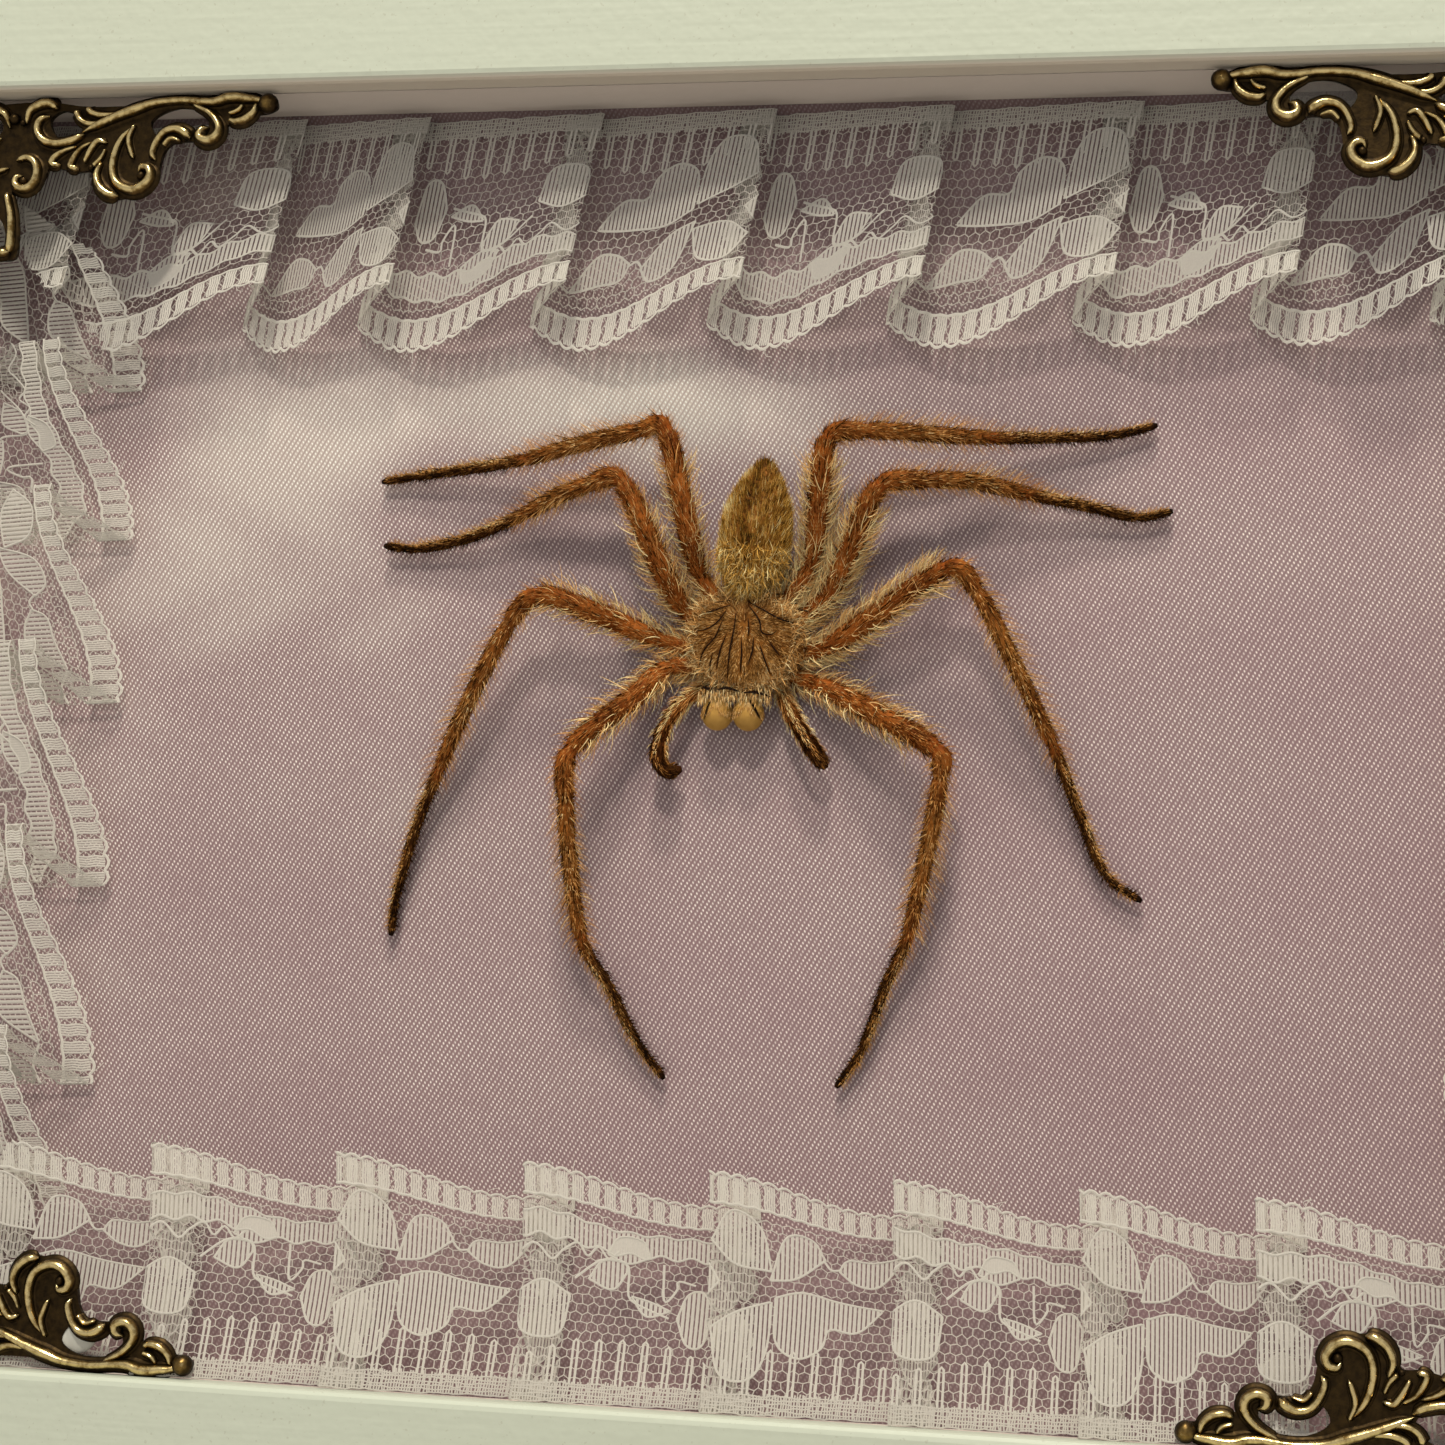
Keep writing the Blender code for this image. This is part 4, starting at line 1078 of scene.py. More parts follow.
def bodyPlace(centre, across, along, height):
    # across the body and towards its rear from a centre, turned by the body's tilt
    turn = math.radians(body["tilt"])
    x = centre[0] + across * math.cos(turn) + along * math.sin(turn)
    up = centre[1] - across * math.sin(turn) + along * math.cos(turn)
    return np.stack(np.broadcast_arrays(x, up, height), axis=-1)


def designWorld(points):
    return toWorld(points[..., 0], points[..., 1], points[..., 2])


class Hairs:
    # gathers hairs; each is a tapering ribbon along base + length * (direction bent towards a lay)
    def __init__(self, seed):
        self.draw = np.random.default_rng(seed)
        self.parts = []
        self.quads = []
        self.count = 0

    def add(self, base, direction, lay, length, width, tone, red, curl=0.9, floor=0.04, steps=4):
        n = len(base)
        t = np.linspace(0, 1, steps)[None, :, None]
        direction = np.broadcast_to(unit(direction), base.shape)[:, None]
        lay = np.broadcast_to(unit(lay), base.shape)[:, None]
        length = np.broadcast_to(length, n)[:, None, None]
        line = base[:, None] + length * (direction * t * (1 - 0.5 * curl * t) + lay * 0.5 * curl * t ** 2)
        across = unit(np.cross(direction[:, 0], self.draw.normal(size=(n, 3))))[:, None]
        taper = np.interp(t, (0.0, 0.35, 0.7, 1.0), (1.0, 0.85, 0.55, 0.10))
        taper = taper * np.broadcast_to(width, n)[:, None, None]
        points = np.stack((line - across * taper / 2, line + across * taper / 2), axis=2)
        points[..., 2] = np.maximum(points[..., 2], floor)
        spread = [np.repeat(np.broadcast_to(v, n), 2 * steps) for v in (tone, red)]
        self.parts.append((points.reshape(-1, 3), *spread))
        self.quads.append(gridQuads(steps, 2, n) + self.count)
        self.count += n * steps * 2

    def piece(self, name, material, slot):
        points, tone, red = (np.concatenate(a) for a in zip(*self.parts))
        print(f"{name}: {self.count} points")
        return addPiece(name, designWorld(points), np.concatenate(self.quads), material, slot,
                        values={"tone": np.clip(tone, 0, 1), "red": np.clip(red, 0, 1)})


def toneRamp(made, tone, tones, kind):
    return made.ramp(tone, [(at, srgb(*colour)) for at, colour in zip(tones["at"], tones[kind])])


def hairMaterial(name, olive=0.0):
    # tone runs from near black through brown and gold to cream, and redness warms it
    made = Nodes(name)
    tone, red = made.value("tone"), made.value("red")
    plain, warm, green = (toneRamp(made, tone, hairTones, kind) for kind in ("plain", "warm", "green"))
    base = made.mix(red, made.mix(olive, plain, green), warm)
    return made.finish(Base_Color=base, Roughness=0.6, Specular_IOR_Level=0.0)


def skinMaterial():
    # dried hide under the hair: mottled, slightly leathery
    made = Nodes("driedHide")
    mottle = made.noise(made.places(), 1300.0, 3.0, 0.65)
    tone = made.plus(made.value("tone"), made.line(mottle, 0.5, -0.25))
    plain, warm = (toneRamp(made, tone, skinTones, kind) for kind in ("plain", "warm"))
    made.bump(mottle, 0.5, 0.00012)
    base = made.mix(made.value("red"), plain, warm)
    return made.finish(Base_Color=base, Roughness=0.6, Specular_IOR_Level=0.04)


def limbFrame(points, count):
    # a centre line with even samples, its run, its level side and its upper side
    line = samplePath(smoothCurve(points, 12), count)
    run = unit(np.gradient(line, axis=0))
    side = unit(np.cross((0.0, 0.0, 1.0), run))
    upper = unit(np.cross(run, side))
    return line, run, side, upper


def limbStations(points, count):
    # the station number at each even sample of the line
    dense = smoothCurve(points, 12)
    run = pathLength(dense)
    return np.interp(np.linspace(0, run[-1], count), run, np.arange(len(dense)) / 12)


def ringAt(side, upper, at, turn):
    # the way out from the centre line at the samples "at", at an angle round it
    return side[at] * np.cos(turn)[:, None] + upper[at] * np.sin(turn)[:, None]


def leaning(normal, way, degrees):
    # the normal turned towards a way along the surface
    lean = np.radians(degrees)[:, None]
    return normal * np.cos(lean) + way * np.sin(lean)


def addTube(name, line, side, upper, halfWidth, flat, sides, material, slot, tone, red):
    # an ellipse carried along the line: the half width to the side and flat times it upwards
    turn = 2 * np.pi * np.arange(sides) / sides
    out = side[:, None] * np.cos(turn)[None, :, None] + upper[:, None] * (flat * np.sin(turn))[None, :, None]
    points = line[:, None] + out * halfWidth[:, None, None]
    first, last = np.repeat(line[:1, None], sides, 1), np.repeat(line[-1:, None], sides, 1)
    points = np.concatenate((first, points, last))
    points[..., 2] = np.maximum(points[..., 2], 0.05)
    values = {}
    for key, given in (("tone", tone), ("red", red)):
        values[key] = np.repeat(np.concatenate((given[:1], given, given[-1:])), sides)
    quads = gridQuads(len(points), sides, wrap=True)[:, ::-1]
    return addPiece(name, designWorld(points), quads, material, slot, values=values)


def jointPinch(station, joints, depth=0.24, reach=0.07):
    # 1, and less by depth at each joint: the deepest of the hills exp(-(distance / reach)^2)
    pinch = np.zeros_like(station)
    for joint in joints:
        pinch = np.maximum(pinch, np.exp(-((station - joint) / reach) ** 2))
    return 1 - depth * pinch


def growLegHair(hairs, frameAt, outward, draw, shaggy):
    # hairs of every kind on one leg. "far" is 1 on the last joints, "outer" 1 on the side away from the body
    line, run, side, upper, station, half = frameAt
    for kind, spec in hairKinds.items():
        count = spec["count"]
        where = draw.uniform(0.01, 0.99, count)
        if kind == "mane":
            count = int(count * shaggy)
            where = 0.02 + 0.30 * draw.random(count)
        lower = (where * (len(line) - 1)).astype(int)
        s = station[lower]
        turn = draw.uniform(0, 2 * np.pi, count)
        if kind in ("fringe", "mane"):
            turn = np.where(draw.random(count) < 0.5, 0.0, np.pi) + draw.normal(0, 0.55, count)
        if kind in ("streak", "spine"):
            turn = draw.uniform(0.05 * np.pi, 0.95 * np.pi, count)
        ring = ringAt(side, upper, lower, turn)
        squash = np.where(np.abs(np.sin(turn)) > 0.5, legCourse["flat"], 1.0)
        base = line[lower] + ring * (half[lower] * squash)[:, None]
        direction = leaning(ring, run[lower], spec["lean"] + draw.normal(0, 9, count))
        direction += draw.normal(0, 0.14, (count, 3))
        outer = np.einsum("ij,ij->i", ring, outward[lower])
        length = draw.uniform(*spec["length"], count)
        tone = np.interp(s, legCourse["station"], legCourse["tone"])
        red = np.interp(s, legCourse["station"], legCourse["red"]) + draw.normal(0, 0.12, count)
        far = np.clip((s - 6.1) * 4, 0, 1)
        if kind == "down":
            stripe = 0.10 * np.sin(s * 5.1 + 2.0 * np.cos(turn))
            stripe += 0.08 * np.sin(s * 17.0 + 3.0 * np.sin(turn * 2))
            tone = tone + stripe + draw.normal(0, 0.17, count) + 0.55 * far * np.clip(outer + 0.1, 0, 0.9)
            tone = tone - 0.14 * (1 - far) * np.clip(np.abs(np.cos(turn)) - 0.55, 0, 1) * 2.2
            length = length * (1 - 0.2 * far)
        elif kind == "mane":
            tone = tone + draw.normal(0.38, 0.12, count)
            red = red * 0.55
            direction = direction + draw.normal(0, 0.22, (count, 3))
        elif kind == "fringe":
            tone = np.clip(tone, 0.36, 1) + draw.normal(0.11, 0.14, count) + 0.10 * far * np.clip(outer, 0, 1)
            red = red * 0.9
            tone = np.where((far > 0.5) & (outer < 0), tone - 0.5, tone)
            length = length * (1 - 0.38 * far)
            length = length * np.interp(s, legCourse["fringeAt"], legCourse["fringe"])
            length = length * np.where((s > 4) & (s < 6), 1 + 0.15 * outer, 1.0)
        else:
            # black streaks and spines keep to the middle of the leg
            keep = (s > 1.6) & (s < 7.0) if kind == "spine" else (s > 0.8) & (s < 8.0)
            tone, red = 0.03, 0.3
            base, direction, lower, length = base[keep], direction[keep], lower[keep], length[keep]
        width = spec["width"] * draw.uniform(0.75, 1.25, len(base))
        lay = run[lower] + (draw.normal(0, 0.35, base.shape) if kind == "mane" else 0.0)
        steps = 7 if kind == "mane" else 4
        hairs.add(base, direction, lay, length, width, tone, red, curl=spec["curl"], steps=steps)


def addLegs(skin, hair):
    middle = np.array((*body["middle"], 1.3))
    for number, (name, (bearing, joints)) in enumerate(legs.items()):
        out = -1.0 if "right" in name else 1.0
        turn = math.radians(bearing)
        coxa = (body["middle"][0] + out * body["coxaCircle"] * math.cos(turn),
                body["middle"][1] + body["coxaCircle"] * math.sin(turn), body["coxaHeight"])
        points = [coxa] + joints
        line, run, side, upper = limbFrame(points, legCourse["rings"])
        station = limbStations(points, legCourse["rings"])
        half = np.interp(station, legCourse["station"], legCourse["halfWidth"])
        half *= jointPinch(station, legCourse["joints"])
        half *= np.clip((9.03 - station) * 9, 0.35, 1) ** 0.5
        tone = np.interp(station, legCourse["station"], legCourse["tone"]) - 0.06
        tone += 0.10 * np.sin(station * 7.3 + number) * np.sin(station * 3.1)
        red = np.interp(station, legCourse["station"], legCourse["red"])
        spot = np.exp(-((station - 6.0) / 0.10) ** 2) + 0.6 * np.exp(-((station - 3.0) / 0.08) ** 2)
        tube = (line, side, upper, half, legCourse["flat"], legCourse["sides"])
        piece = addTube(f"legSkin_{name}", *tube, skin, "legs", tone + 0.12 * spot, red + 0.4 * spot)
        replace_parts(piece, f"leg_{name}")
        outward = unit(line - middle)
        outward -= run * np.einsum("ij,ij->i", outward, run)[:, None]
        hairs = Hairs(body["seed"] + number)
        shaggy = 1.6 if out > 0 and bearing > -30 else 0.6
        growLegHair(hairs, (line, run, side, upper, station, half), unit(outward), hairs.draw, shaggy)
        hairs.piece(f"legHair_{name}", hair, "legs")
    print("legs grown")


# kind, number, length, width and lean of the hairs on a palp
palpHairs = (("down", 1900, 0.5, 0.060, 62), ("long", 420, 1.2, 0.060, 42), ("streak", 130, 0.9, 0.08, 72))


def addPalps(skin, hair):
    # short palps, brown at the root and dark at the tip, with pale and black streaks of hair
    for number, (name, points) in enumerate(palps.items()):
        count = 70
        line, run, side, upper = limbFrame(points, count)
        share = np.linspace(0, 1, count)
        half = np.interp(share, (0, 0.12, 0.35, 0.5, 0.72, 0.93, 1.0),
                         (0.42, 0.58, 0.68, 0.66, 0.78, 0.66, 0.26))
        half *= jointPinch(share, (0.22, 0.46, 0.62), 0.2, 0.02)
        tone = np.interp(share, (0, 0.40, 0.55, 0.75, 1), (0.45, 0.40, 0.22, 0.10, 0.04))
        red = np.interp(share, (0, 0.5, 1), (0.5, 0.3, 0.1))
        piece = addTube(f"palpSkin_{name}", line, side, upper, half, 0.9, 16, skin, "palps", tone, red)
        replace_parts(piece, f"palp_{name}")
        hairs = Hairs(body["seed"] + 20 + number)
        draw = hairs.draw
        for kind, amount, length, width, lean in palpHairs:
            at = (draw.uniform(0, 0.97, amount) ** 1.15 * (count - 1)).astype(int)
            turn = draw.uniform(-0.2 * np.pi, 1.2 * np.pi, amount)
            ring = ringAt(side, upper, at, turn)
            direction = leaning(ring, run[at], lean + draw.normal(0, 9, amount))
            direction += draw.normal(0, 0.1, (amount, 3))
            stripes = np.tanh(3.0 * np.sin(turn * 4 + 0.6 + 1.3 * name.count("l")))
            pale = 0.42 * stripes * np.interp(share[at], (0.15, 0.4, 0.72, 0.88), (0.3, 1.0, 1.0, 0.1))
            hairTone = tone[at] + pale + draw.normal(0.12, 0.12, amount)
            hairTone = hairTone + 0.15 * np.clip(0.4 - share[at], 0, 1)
            if kind == "long":
                hairTone = hairTone + 0.25 - 0.5 * np.clip(share[at] - 0.6, 0, 1)
            if kind == "streak":
                hairTone = np.full(amount, 0.02)
            size = length * draw.uniform(0.6, 1.2, amount) * (1.1 - 0.6 * share[at])
            hairs.add(line[at] + ring * half[at][:, None], direction, run[at], size, width, hairTone, red[at])
        hairs.piece(f"palpHair_{name}", hair, "palps")
    print("palps grown")


def carapaceWidth(along):
    # half width of the carapace beside the middle of its length: the head half narrows
    headward = np.clip(-along / body["halfLength"], 0, 1)
    rearward = np.clip(along / body["halfLength"], 0, 1)
    return body["halfWidth"] * (1 - 0.27 * headward ** 1.6 - 0.10 * rearward ** 3)


def carapaceRim(share, turn):
    # a superellipse: each coordinate is its cosine or sine to the power 2 / square
    power = 2 / body["square"]
    along = share * body["halfLength"] * np.sign(np.sin(turn)) * np.abs(np.sin(turn)) ** power
    across = share * carapaceWidth(along) * np.sign(np.cos(turn)) * np.abs(np.cos(turn)) ** power
    return across, along


def carapaceRibs(across, along):
    # waves round the fovea: the cosine of the bearing from it times their number
    return np.cos(np.arctan2(across, -(along - body["fovea"])) * body["ribs"])


def carapaceHeight(across, along):
    # a dome: crown * sqrt(1 - r^2.6) above the rim, where r is the superellipse distance from the
    # middle. A groove lies along the middle at the rear, and soft ribs radiate from it
    square = body["square"]
    r = np.abs(across / carapaceWidth(along)) ** square + np.abs(along / body["halfLength"]) ** square
    r = r ** (1 / square)
    dome = np.sqrt(np.clip(1 - r ** 2.6, 0, 1))
    groove = 0.30 * np.exp(-((across / 0.28) ** 2 + ((along - body["fovea"]) / 0.9) ** 2))
    ribs = 0.06 * carapaceRibs(across, along) * np.clip(r * 2.4, 0, 1) * np.clip(1.15 - r, 0, 1)
    return body["rim"] + body["crown"] * dome - groove + ribs


# Furrows of the carapace as (across, along) from its middle; along grows to the rear
furrowSteps = 24
furrows = [
    [(-0.93, 2.58), (-0.83, 0.98), (-0.93, -1.13), (-0.89, -3.76)],
    [(-0.79, 4.36), (1.36, 4.72), (3.17, 5.00)],
    [(-0.34, 4.06), (1.74, 4.14), (4.32, 4.18)],
    [(-0.21, 3.72), (1.54, 2.99), (3.22, 2.36), (5.35, 2.00), (5.93, 1.71)],
    [(0.06, 3.32), (1.32, 2.01), (1.75, 0.92), (2.57, 0.78), (3.08, 1.22)],
    [(0.28, 2.06), (0.56, 0.96), (0.56, 0.32)],
    [(1.10, 0.37), (1.14, -0.91), (0.89, -2.29)],
    [(1.70, -0.15), (2.32, -1.44), (2.97, -2.72)],
    [(-1.47, 4.04), (-3.06, 3.81), (-4.46, 3.34)],
    [(-1.49, 3.65), (-3.31, 3.14), (-4.86, 2.59), (-5.56, 1.55)],
    [(-1.57, 3.12), (-2.92, 2.50), (-4.59, 1.78)],
    [(-1.81, 2.65), (-2.57, 1.28), (-3.53, 0.60), (-4.38, 0.45)],
    [(-1.95, 1.83), (-2.50, -0.00), (-3.42, -1.38), (-3.86, -3.11)],
    [(-1.42, 0.43), (-1.83, -1.22), (-1.98, -2.85)],
    [(-0.05, 0.25), (0.21, -1.33), (0.27, -3.10)],
    [(-2.51, -1.45), (-2.65, -2.92), (-2.44, -3.67)],
    [(2.54, 0.13), (3.66, -1.04)],
    [(3.72, 3.74), (5.41, 3.59)],
]
# Dark lines between the front eyes, with their heights
darkLines = [
    [(-3.4, -4.45, 3.0), (-2.7, -4.72, 3.3), (-2.0, -4.55, 3.5)],
    [(-1.7, -4.72, 3.6), (-0.7, -4.50, 3.75), (0.4, -4.66, 3.7)],
    [(0.8, -4.74, 3.65), (1.8, -4.55, 3.6), (3.2, -4.72, 3.1)],
]
jaws = {
    "across": (("right", 0.06), ("left", 2.95)),  # the middle of each
    "up": 2.2,
    "height": 2.3,
    "radii": (1.46, 1.58, 1.3),
    "bristles": 2600,
    "fuzz": 800,
    # a dark line outside each
    "stripes": (((-0.28, 3.5), (-0.60, 2.7), (-0.92, 1.5)), ((3.10, 3.5), (3.75, 2.6), (4.30, 1.5))),
}
# (across, along, radius) of each eye
eyes = ((-2.23, -3.25, 0.17), (0.68, -3.15, 0.17), (-1.34, -4.0, 0.16), (-0.32, -4.1, 0.16),
        (-2.76, -4.5, 0.24), (-1.25, -4.62, 0.22), (1.44, -4.6, 0.24), (2.80, -4.5, 0.24))


def addCarapace(skin, hair):
    # rings of the dome, then down its rim to the sternum below
    sides, rings = 120, 36
    turn = 2 * np.pi * np.arange(sides) / sides
    share = np.sin(np.linspace(0.0, np.pi / 2, rings))[:, None]
    across, along = carapaceRim(share, turn)
    height = carapaceHeight(across, along)
    height[-1] = body["rim"]
    under = [(0.98, 2.0), (0.62, 1.6), (0.55, 0.7), (0.40, 0.4), (0.0, 0.38)]
    across = np.concatenate((across, [across[-1] * s for s, h in under]))
    along = np.concatenate((along, [along[-1] * s for s, h in under]))
    height = np.concatenate((height, [np.full(sides, h) for s, h in under]))
    points = bodyPlace(body["middle"], across, along, height)
    tone = 0.40 + 0.06 * carapaceRibs(across, along) + 0.10 * np.clip(-along / body["halfLength"], 0, 1)
    quads = gridQuads(len(points), sides, wrap=True)
    piece = addPiece("carapaceSkin", designWorld(points), quads, skin, "carapace",
                     values={"tone": tone, "red": np.zeros_like(tone)})
    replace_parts(piece, "cephalothorax")
    hairs = Hairs(body["seed"] + 40)
    growCarapaceDown(hairs, hairs.draw)
    growCarapaceCurls(hairs, hairs.draw)
    hairs.piece("carapaceHair", hair, "carapace")
    addFurrows()
    print("carapace grown")


def bodyAxes():
    # the ways across the body and towards its rear
    return bodyPlace((0, 0), 1.0, 0.0, 0.0), bodyPlace((0, 0), 0.0, 1.0, 0.0)


def growCarapaceDown(hairs, draw):
    # short down that radiates from the furrow in the middle and leaves the furrows bare
    count = body["carapaceDown"]
    r, t = np.sqrt(draw.random(count)) * 0.99, draw.uniform(0, 2 * np.pi, count)
    a, b = carapaceRim(r, t)
    groove = np.concatenate([curveThrough(line, furrowSteps) for line in furrows])
    gap = np.min(np.hypot(a[:, None] - groove[:, 0], b[:, None] - groove[:, 1]), axis=1)
    keep = gap > body["bareFurrow"]
    a, b, r = a[keep], b[keep], r[keep]
    count = len(a)
    step = 0.05
    slopeA = (carapaceHeight(a + step, b) - carapaceHeight(a - step, b)) / (2 * step)
    slopeB = (carapaceHeight(a, b + step) - carapaceHeight(a, b - step)) / (2 * step)
    origin = bodyPlace(body["middle"], a, b, carapaceHeight(a, b))
    axisA, axisB = bodyAxes()
    normal = unit(np.array((0, 0, 1.0)) - slopeA[:, None] * axisA - slopeB[:, None] * axisB)
    radial = unit(a[:, None] * axisA + (b - 1.6)[:, None] * axisB + 1e-6)
    direction = normal * 0.40 + radial * 0.9 + draw.normal(0, 0.16, (count, 3))
    cheek = np.exp(-(np.abs(a) - 2.4) ** 2 - ((b + 3.6) / 1.2) ** 2)
    patch = 0.07 * np.sin(a * 2.3 + 1.0) * np.sin(b * 1.9)
    tone = 0.52 + 0.06 * carapaceRibs(a, b) + patch + draw.normal(0, 0.15, count) + 0.26 * cheek
    size = draw.uniform(0.16, 0.36, count) * (1 + 0.35 * r)
    hairs.add(origin, direction, radial, size, 0.05, tone - 0.03, 0.0)


def growCarapaceCurls(hairs, draw):
    # pale curly hairs all round the rim, shorter on the head
    count = body["carapaceCurls"]
    t = draw.uniform(0, 2 * np.pi, count)
    r = draw.uniform(0.80, 1.0, count)
    a, b = carapaceRim(r, t)
    origin = bodyPlace(body["middle"], a, b, carapaceHeight(a, b) - draw.uniform(0, 1.2, count) * (r > 0.93))
    axisA, axisB = bodyAxes()
    radial = unit(a[:, None] * axisA + b[:, None] * axisB)
    direction = radial + np.array((0, 0, 0.35)) + draw.normal(0, 0.45, (count, 3))
    size = draw.uniform(0.8, 2.1, count) * np.interp(b, (-4.7, -3.5, 0.0), (0.40, 0.8, 1.0))
    hairs.add(origin, direction, draw.normal(0, 1, (count, 3)), size, 0.085,
              0.72 + draw.normal(0, 0.17, count), 0.10 + draw.normal(0, 0.1, count), curl=1.6, steps=7)


def thinRibbon(path, sideways, half):
    # the path between its two edges, which stand half to either side of it and close in at both ends
    half = half * np.sin(np.linspace(0.12, np.pi - 0.12, furrowSteps)) ** 0.6
    return np.stack([path + sideways * (half * k)[:, None] for k in (-1, 0, 1)], 1)


def addFurrows():
    # dark ribbons in the grooves of the dome, between the front eyes and on the jaws
    ribbons = []
    for line in furrows:
        path = curveThrough(line, furrowSteps)
        run = unit(np.gradient(path, axis=0))
        rows = thinRibbon(path, np.stack((-run[:, 1], run[:, 0]), -1), 0.075)
        across, along = rows[..., 0], rows[..., 1]
        height = carapaceHeight(across, along) + np.array((0.17, 0.23, 0.17))
        ribbons.append(bodyPlace(body["middle"], across, along, height))
    for line in darkLines:
        rows = thinRibbon(curveThrough(line, furrowSteps), np.array((0.0, 1.0, 0.0)), 0.13)
        ribbons.append(bodyPlace(body["middle"], rows[..., 0], rows[..., 1], rows[..., 2] + 0.35))
    (_, rightJaw), (_, leftJaw) = jaws["across"]
    wide, tall, deep = jaws["radii"]
    for line in jaws["stripes"]:
        rows = thinRibbon(curveThrough(line, furrowSteps), np.array((1.0, 0.3)), 0.10)
        middle = np.where(rows[..., 0] < 1.6, rightJaw, leftJaw)
        inside = ((rows[..., 0] - middle) / wide) ** 2 + ((rows[..., 1] - jaws["up"]) / tall) ** 2
        height = jaws["height"] + deep * np.sqrt(np.clip(1 - inside, 0.02, 1)) + 0.14
        ribbons.append(np.concatenate((rows, height[..., None]), axis=-1))
    dark = Nodes("darkFurrow")
    base = dark.mix(dark.noise(dark.places(), 2500.0), srgb(14, 8, 5), srgb(44, 27, 15))
    material = dark.finish(Base_Color=base, Roughness=0.8, Specular_IOR_Level=0.05)
    quads = gridQuads(furrowSteps, 3, len(ribbons))
    addPiece("carapaceFurrows", designWorld(np.stack(ribbons)), quads, material, "carapace")


def ballPoints(centre, radii, rows=10, sides=16):
    # a ball: rings of latitude by longitude
    level = np.linspace(-np.pi / 2, np.pi / 2, rows)[:, None]
    turn = 2 * np.pi * np.arange(sides) / sides
    return np.stack(np.broadcast_arrays(centre[0] + radii[0] * np.cos(level) * np.cos(turn),
                                        centre[1] + radii[1] * np.cos(level) * np.sin(turn),
                                        centre[2] + radii[2] * np.sin(level)), axis=-1)


def addEyes():
    # eight glossy beads in two rows on the head, the front ones larger
    balls = []
    for across, along, radius in eyes:
        height = float(carapaceHeight(np.array(across * 0.9), np.array(along * 0.93)))
        middle = bodyPlace(body["middle"], across, along * 0.97, height * 0.95 + 0.05)
        balls.append(ballPoints(middle, (radius, radius, radius)))
    points = np.stack(balls)
    made = Nodes("eyeBead")
    base = made.mix(made.noise(made.places(), 3000.0), srgb(12, 9, 8), srgb(36, 24, 18))
    addPiece("eyeBeads", designWorld(points), gridQuads(10, 16, len(balls), wrap=True),
             made.finish(Base_Color=base, Roughness=0.12, Coat_Weight=0.6, Coat_Roughness=0.05), "carapace")


def abdomenSize(share):
    # half width along the abdomen in units of its largest: blunt in front, pointed at the rear
    return np.interp(share, (0.0, 0.04, 0.12, 0.25, 0.40, 0.52, 0.66, 0.80, 0.90, 0.96, 1.0),
                     (0.25, 0.52, 0.80, 0.96, 1.0, 0.98, 0.86, 0.60, 0.36, 0.20, 0.03))


def abdomenPoint(share, turn, out=0.0):
    # an ellipse about the line from the front to the rear end, whose half sizes follow abdomenSize; the
    # rear end sinks a little
    front, rear = np.array(body["abdomenFront"]), np.array(body["abdomenRear"])
    centre = front + (rear - front) * share[..., None]
    size = abdomenSize(share)
    wide = (body["abdomenHalfWidth"] * size + out) * np.cos(turn)
    high = (body["abdomenHalfHeight"] * size + out) * np.sin(turn)
    height = body["abdomenHeight"] + high - 0.5 * np.clip(share - 0.6, 0, 1)
    return bodyPlace((centre[..., 0], centre[..., 1]), wide, 0.0, height)


# where the cream patches of the abdomen are, along and across it, and how large
creamPatches = (((0.86, -0.42), (0.045, 0.16)), ((0.58, -0.80), (0.06, 0.14)), ((0.50, -0.02), (0.07, 0.14)))
# kind, number, least and most length, and lean of its hairs
abdomenHairs = (("down", 15000, (0.30, 0.66), 60), ("long", 2600, (0.8, 1.6), 40))


def abdomenTone(share, turn, draw):
    # olive gold with a dark mottled band along the middle, and a few cream patches
    across = np.cos(turn) * abdomenSize(share)
    band = np.exp(-((across + 0.15) / 0.22) ** 2)
    band = band * np.interp(share, (0.1, 0.3, 0.85, 1.0), (0.1, 1.0, 0.8, 0.3))
    mottle = np.sin(share * 34 + across * 9) * np.sin(across * 23 - share * 11)
    tone = 0.52 - 0.24 * band - 0.16 * band * mottle + 0.12 * mottle
    tone = tone - 0.22 * np.clip((share - 0.90) * 10, 0, 1) + 0.10 * np.clip(0.25 - share, 0, 1) * 4
    for centre, size in creamPatches:
        tone = tone + 0.42 * softSpot(share, across, centre, size)
    return tone + draw.normal(0, 0.15, np.shape(share))


